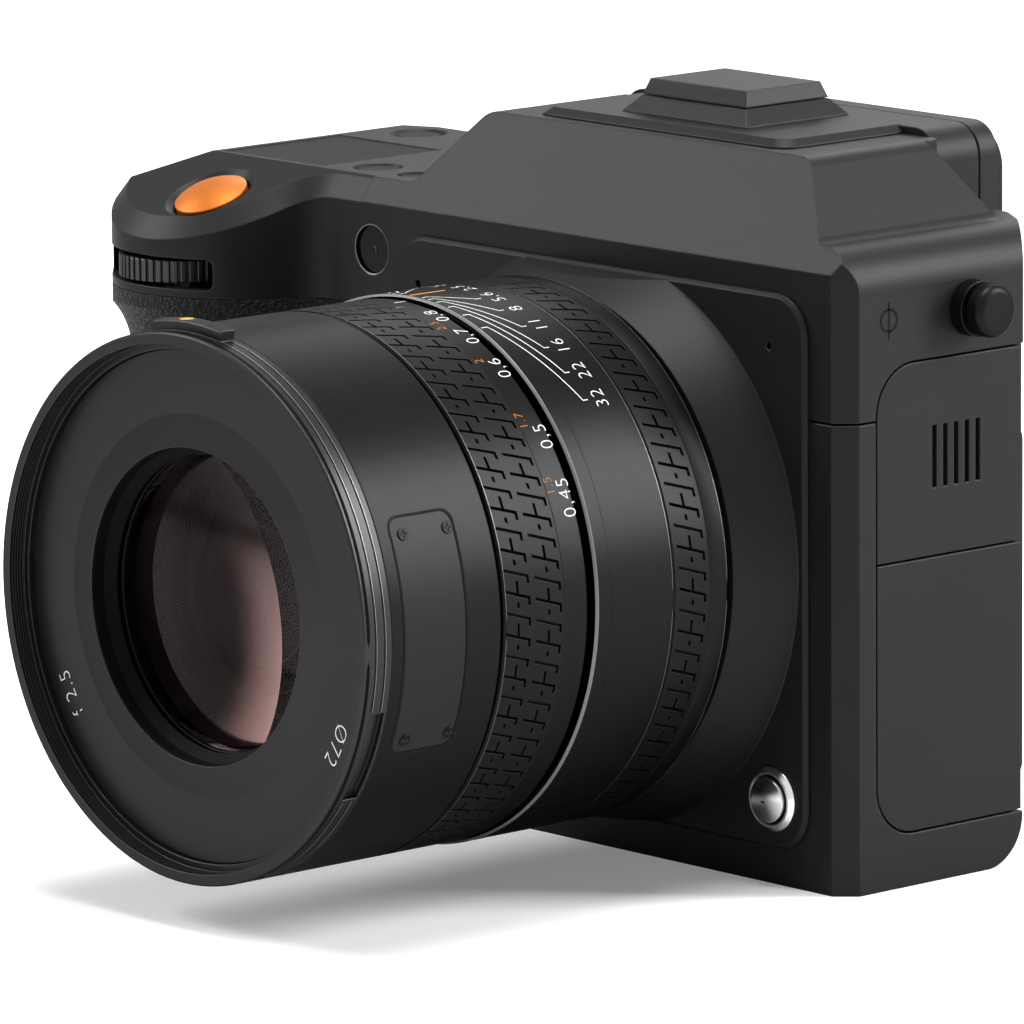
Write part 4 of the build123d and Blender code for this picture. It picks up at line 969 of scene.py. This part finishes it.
turned("opening_liner", [
    (21.66, -74.3), (21.64, -72.43), (20.43, -70.95), (20.38, -70.95), (21.56, -72.40),
    (21.58, -74.3)], finish["inner"], "lens")
for i, (radius, depth) in enumerate(((16.9, -60.2), (13.0, -61.0), (9.4, -61.4))):
    inside, outside, near, far = radius, radius + 0.12, depth - 1.1, depth - 1.0
    turned(f"element_ring_{i + 1}", [(inside, near), (outside, near), (outside, far),
                                     (inside, far)], finish["inner"], "lens", steps=96)
print("coat faces:", len(front_glass_reflection_sheet.data.polygons))

# %% [markdown]
# ## The plate on the side of the lens
# A curved plate is let into the barrel and held by four small screws. Its border is a
# narrow groove with round corners. A screw is turned, and its cross is pressed into the
# head; one screw is modelled and copied to the four places.

# %% Groove and screws of the plate
PLATE_FRONT, PLATE_BACK, PLATE_SPAN = -70.1, -58.9, 25.2
CORNER_MM = 1.9
corner_turn = CORNER_MM * math.degrees(1 / RIM_R)
middle_d = (PLATE_FRONT + PLATE_BACK) / 2
corner_d = (PLATE_BACK - PLATE_FRONT) / 2 - CORNER_MM
border = []
for side_a, side_d, start in ((1, 1, 0), (-1, 1, 90), (-1, -1, 180), (1, -1, 270)):
    for t in range(0, 91, 15):
        a = math.radians(start + t)
        border.append((side_a * (PLATE_SPAN - corner_turn) + corner_turn * math.cos(a),
                       middle_d + side_d * corner_d + CORNER_MM * math.sin(a)))
painted_line("plate_groove", border, 0.36, RIM_R, finish["inner"], "lens", closed=True)
# A thin lighter line on one side of the groove: a painted highlight on its lip
painted_line("plate_groove_highlight", [(a + 0.3, d + 0.22) for a, d in border], 0.08, RIM_R,
             finish["barrel"], "lens", closed=True)


def cross_screw(name, head_r, high, material):
    """A small screw head with a cross, standing along z with its foot at the origin."""
    deselect_all()
    bpy.ops.mesh.primitive_cylinder_add(vertices=32, radius=head_r * MM, depth=high * MM,
                                        location=(0, 0, high / 2 * MM))
    head = put_down(bpy.context.object)
    head.name = name
    for turn in (0, math.pi / 2):
        deselect_all()
        bpy.ops.mesh.primitive_cube_add(size=1, location=(0, 0, high * MM),
                                        rotation=(0, 0, turn))
        cutter = bpy.context.object
        cutter.scale = (head_r * 1.3 * MM, head_r * 0.3 * MM, high * MM)
        put_down(cutter)
        apply_modifier(head, "BOOLEAN", operation="DIFFERENCE", object=cutter)
        bpy.data.objects.remove(cutter)
    head.data.materials.clear()
    head.data.materials.append(material)
    return head


def stand_on_barrel(obj, radius, depth, angle):
    """Turns a piece that stands along z so that it stands out of the barrel."""
    out = on_barrel(1, 0, angle) - on_barrel(0, 0, 0)
    turn = out.to_track_quat("Z", "Y").to_matrix().to_4x4()
    obj.data.transform(Matrix.Translation(on_barrel(radius, depth, angle)) @ turn)


model_screw = cross_screw("plate_screw_1", 0.85, 0.12, finish["barrel"])
screw_places = ((-67.9, 21.4), (-60.1, 21.3), (-67.8, -21.9), (-60.0, -22.0))
for i, (depth, angle) in enumerate(screw_places):
    screw = model_screw if i == 3 else model_screw.copy()
    if i != 3:
        screw.data = model_screw.data.copy()
        bpy.context.scene.collection.objects.link(screw)
    screw.name = f"plate_screw_{i + 1}"
    stand_on_barrel(screw, RIM_R - 0.02, depth, angle)
    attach(screw, "lens")

# %% [markdown]
# ## The focusing lamp
# The lamp beside the grip shines through a small round window that lies deeper than the
# plate round it. A thin ring painted brighter as a highlight at the edge of the window and
# the bulb behind it make it read as glass and not as a painted dot.

# %% Painted lip highlight and bulb of the focusing lamp
LAMP_X, LAMP_Z, LAMP_R = -48.0, 79.3, 3.6
# A thin ring painted brighter round the window: a painted highlight
turned("lamp_lip_highlight", [(LAMP_R - 0.12, 0.06), (LAMP_R + 0.03, -0.03), (LAMP_R + 0.03, 0.14)],
       finish["edge_light"], "camera_body", steps=64, axis=(LAMP_X, LAMP_Z), smooth=40)
lamp_bulb = turned("lamp_bulb", [(0.01, 0.34), (0.42, 0.38), (0.5, 0.46), (0.01, 0.46)],
                   finish["screw"], "camera_body", steps=64, axis=(LAMP_X + 0.2, LAMP_Z),
                   smooth=40)
print("bulb faces:", len(lamp_bulb.data.polygons))

# %% [markdown]
# ## The mark of the sensor plane
# A circle crossed by a bar on the side of the body marks the depth at which the sensor
# lies, so that distances can be measured from it.

# %% Circle and bar on the side
SIDE_X = 48.8
MARK_D, MARK_Z, MARK_R = 8.3, 79.2, 1.7
LINE_WIDE, BAR_HALF = 0.35, (0.17, 2.6)
turns = [math.radians(t) for t in range(0, 360, 12)]
spots = [(r * math.cos(a), r * math.sin(a)) for r in (MARK_R, MARK_R - LINE_WIDE)
         for a in turns]
spots += [(y * BAR_HALF[0], z * BAR_HALF[1]) for y, z in ((-1, -1), (1, -1), (1, 1), (-1, 1))]
count = len(turns)
quads = [(i, (i + 1) % count, count + (i + 1) % count, count + i) for i in range(count)]
quads.append(tuple(range(2 * count, 2 * count + 4)))
plane_mark = new_piece("sensor_plane_mark",
                       [place(SIDE_X + INK, MARK_D + y, MARK_Z + z) for y, z in spots], [],
                       quads, finish["inner"])
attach(plane_mark, "camera_body")
print("faces of the mark:", len(quads))

# %% [markdown]
# ## The eyecup
# The soft cup keeps stray light out of the finder. A block is given round corners, its
# back face is inset and pushed in to make the funnel, and a bevel rounds the lips.

# %% Model the eyecup
CUP_CORNER = 6.0
LIP_WIDE, LIP_ROUND = 3.4, 1.1
FUNNEL_DEEP, FUNNEL_Z = 8.8, 87.5
cup_points = [v.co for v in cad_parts["eyecup"].data.vertices]
cup_low, cup_high = (Vector([end(p[i] for p in cup_points) for i in range(3)])
                     for end in (min, max))
deselect_all()
bpy.ops.mesh.primitive_cube_add(size=1, location=(cup_low + cup_high) / 2)
eyecup = bpy.context.object
eyecup.name = "eyecup_rubber"
eyecup.scale = cup_high - cup_low
put_down(eyecup)
go_to("EDIT")
bpy.ops.mesh.select_mode(type="EDGE")
bpy.ops.mesh.select_all(action="DESELECT")
go_to("OBJECT")
for edge in eyecup.data.edges:
    a, b = (eyecup.data.vertices[i].co for i in edge.vertices)
    edge.select = abs(a.y - b.y) > 5 * MM
go_to("EDIT")
bpy.ops.mesh.bevel(offset=CUP_CORNER * MM, offset_type="OFFSET", segments=8)
go_to("OBJECT")
pick_faces(eyecup, lambda c, n: n.y > 0.99)
bpy.ops.mesh.inset(thickness=LIP_WIDE * MM)
bpy.ops.mesh.extrude_region_move(TRANSFORM_OT_translate={"value": (0, -FUNNEL_DEEP * MM, 0)})
bpy.ops.transform.resize(value=(0.84, 1, 0.80), center_override=(0, 0, FUNNEL_Z * MM))
go_to("OBJECT")
apply_modifier(eyecup, "BEVEL", width=LIP_ROUND * MM, segments=4, limit_method="ANGLE",
               angle_limit=math.radians(35))
bpy.ops.object.shade_smooth_by_angle(angle=math.radians(40))
eyecup.data.materials.clear()
eyecup.data.materials.append(finish["eyecup"])
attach(eyecup, "camera_body")
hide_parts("eyecup")
print("eyecup faces:", len(eyecup.data.polygons))
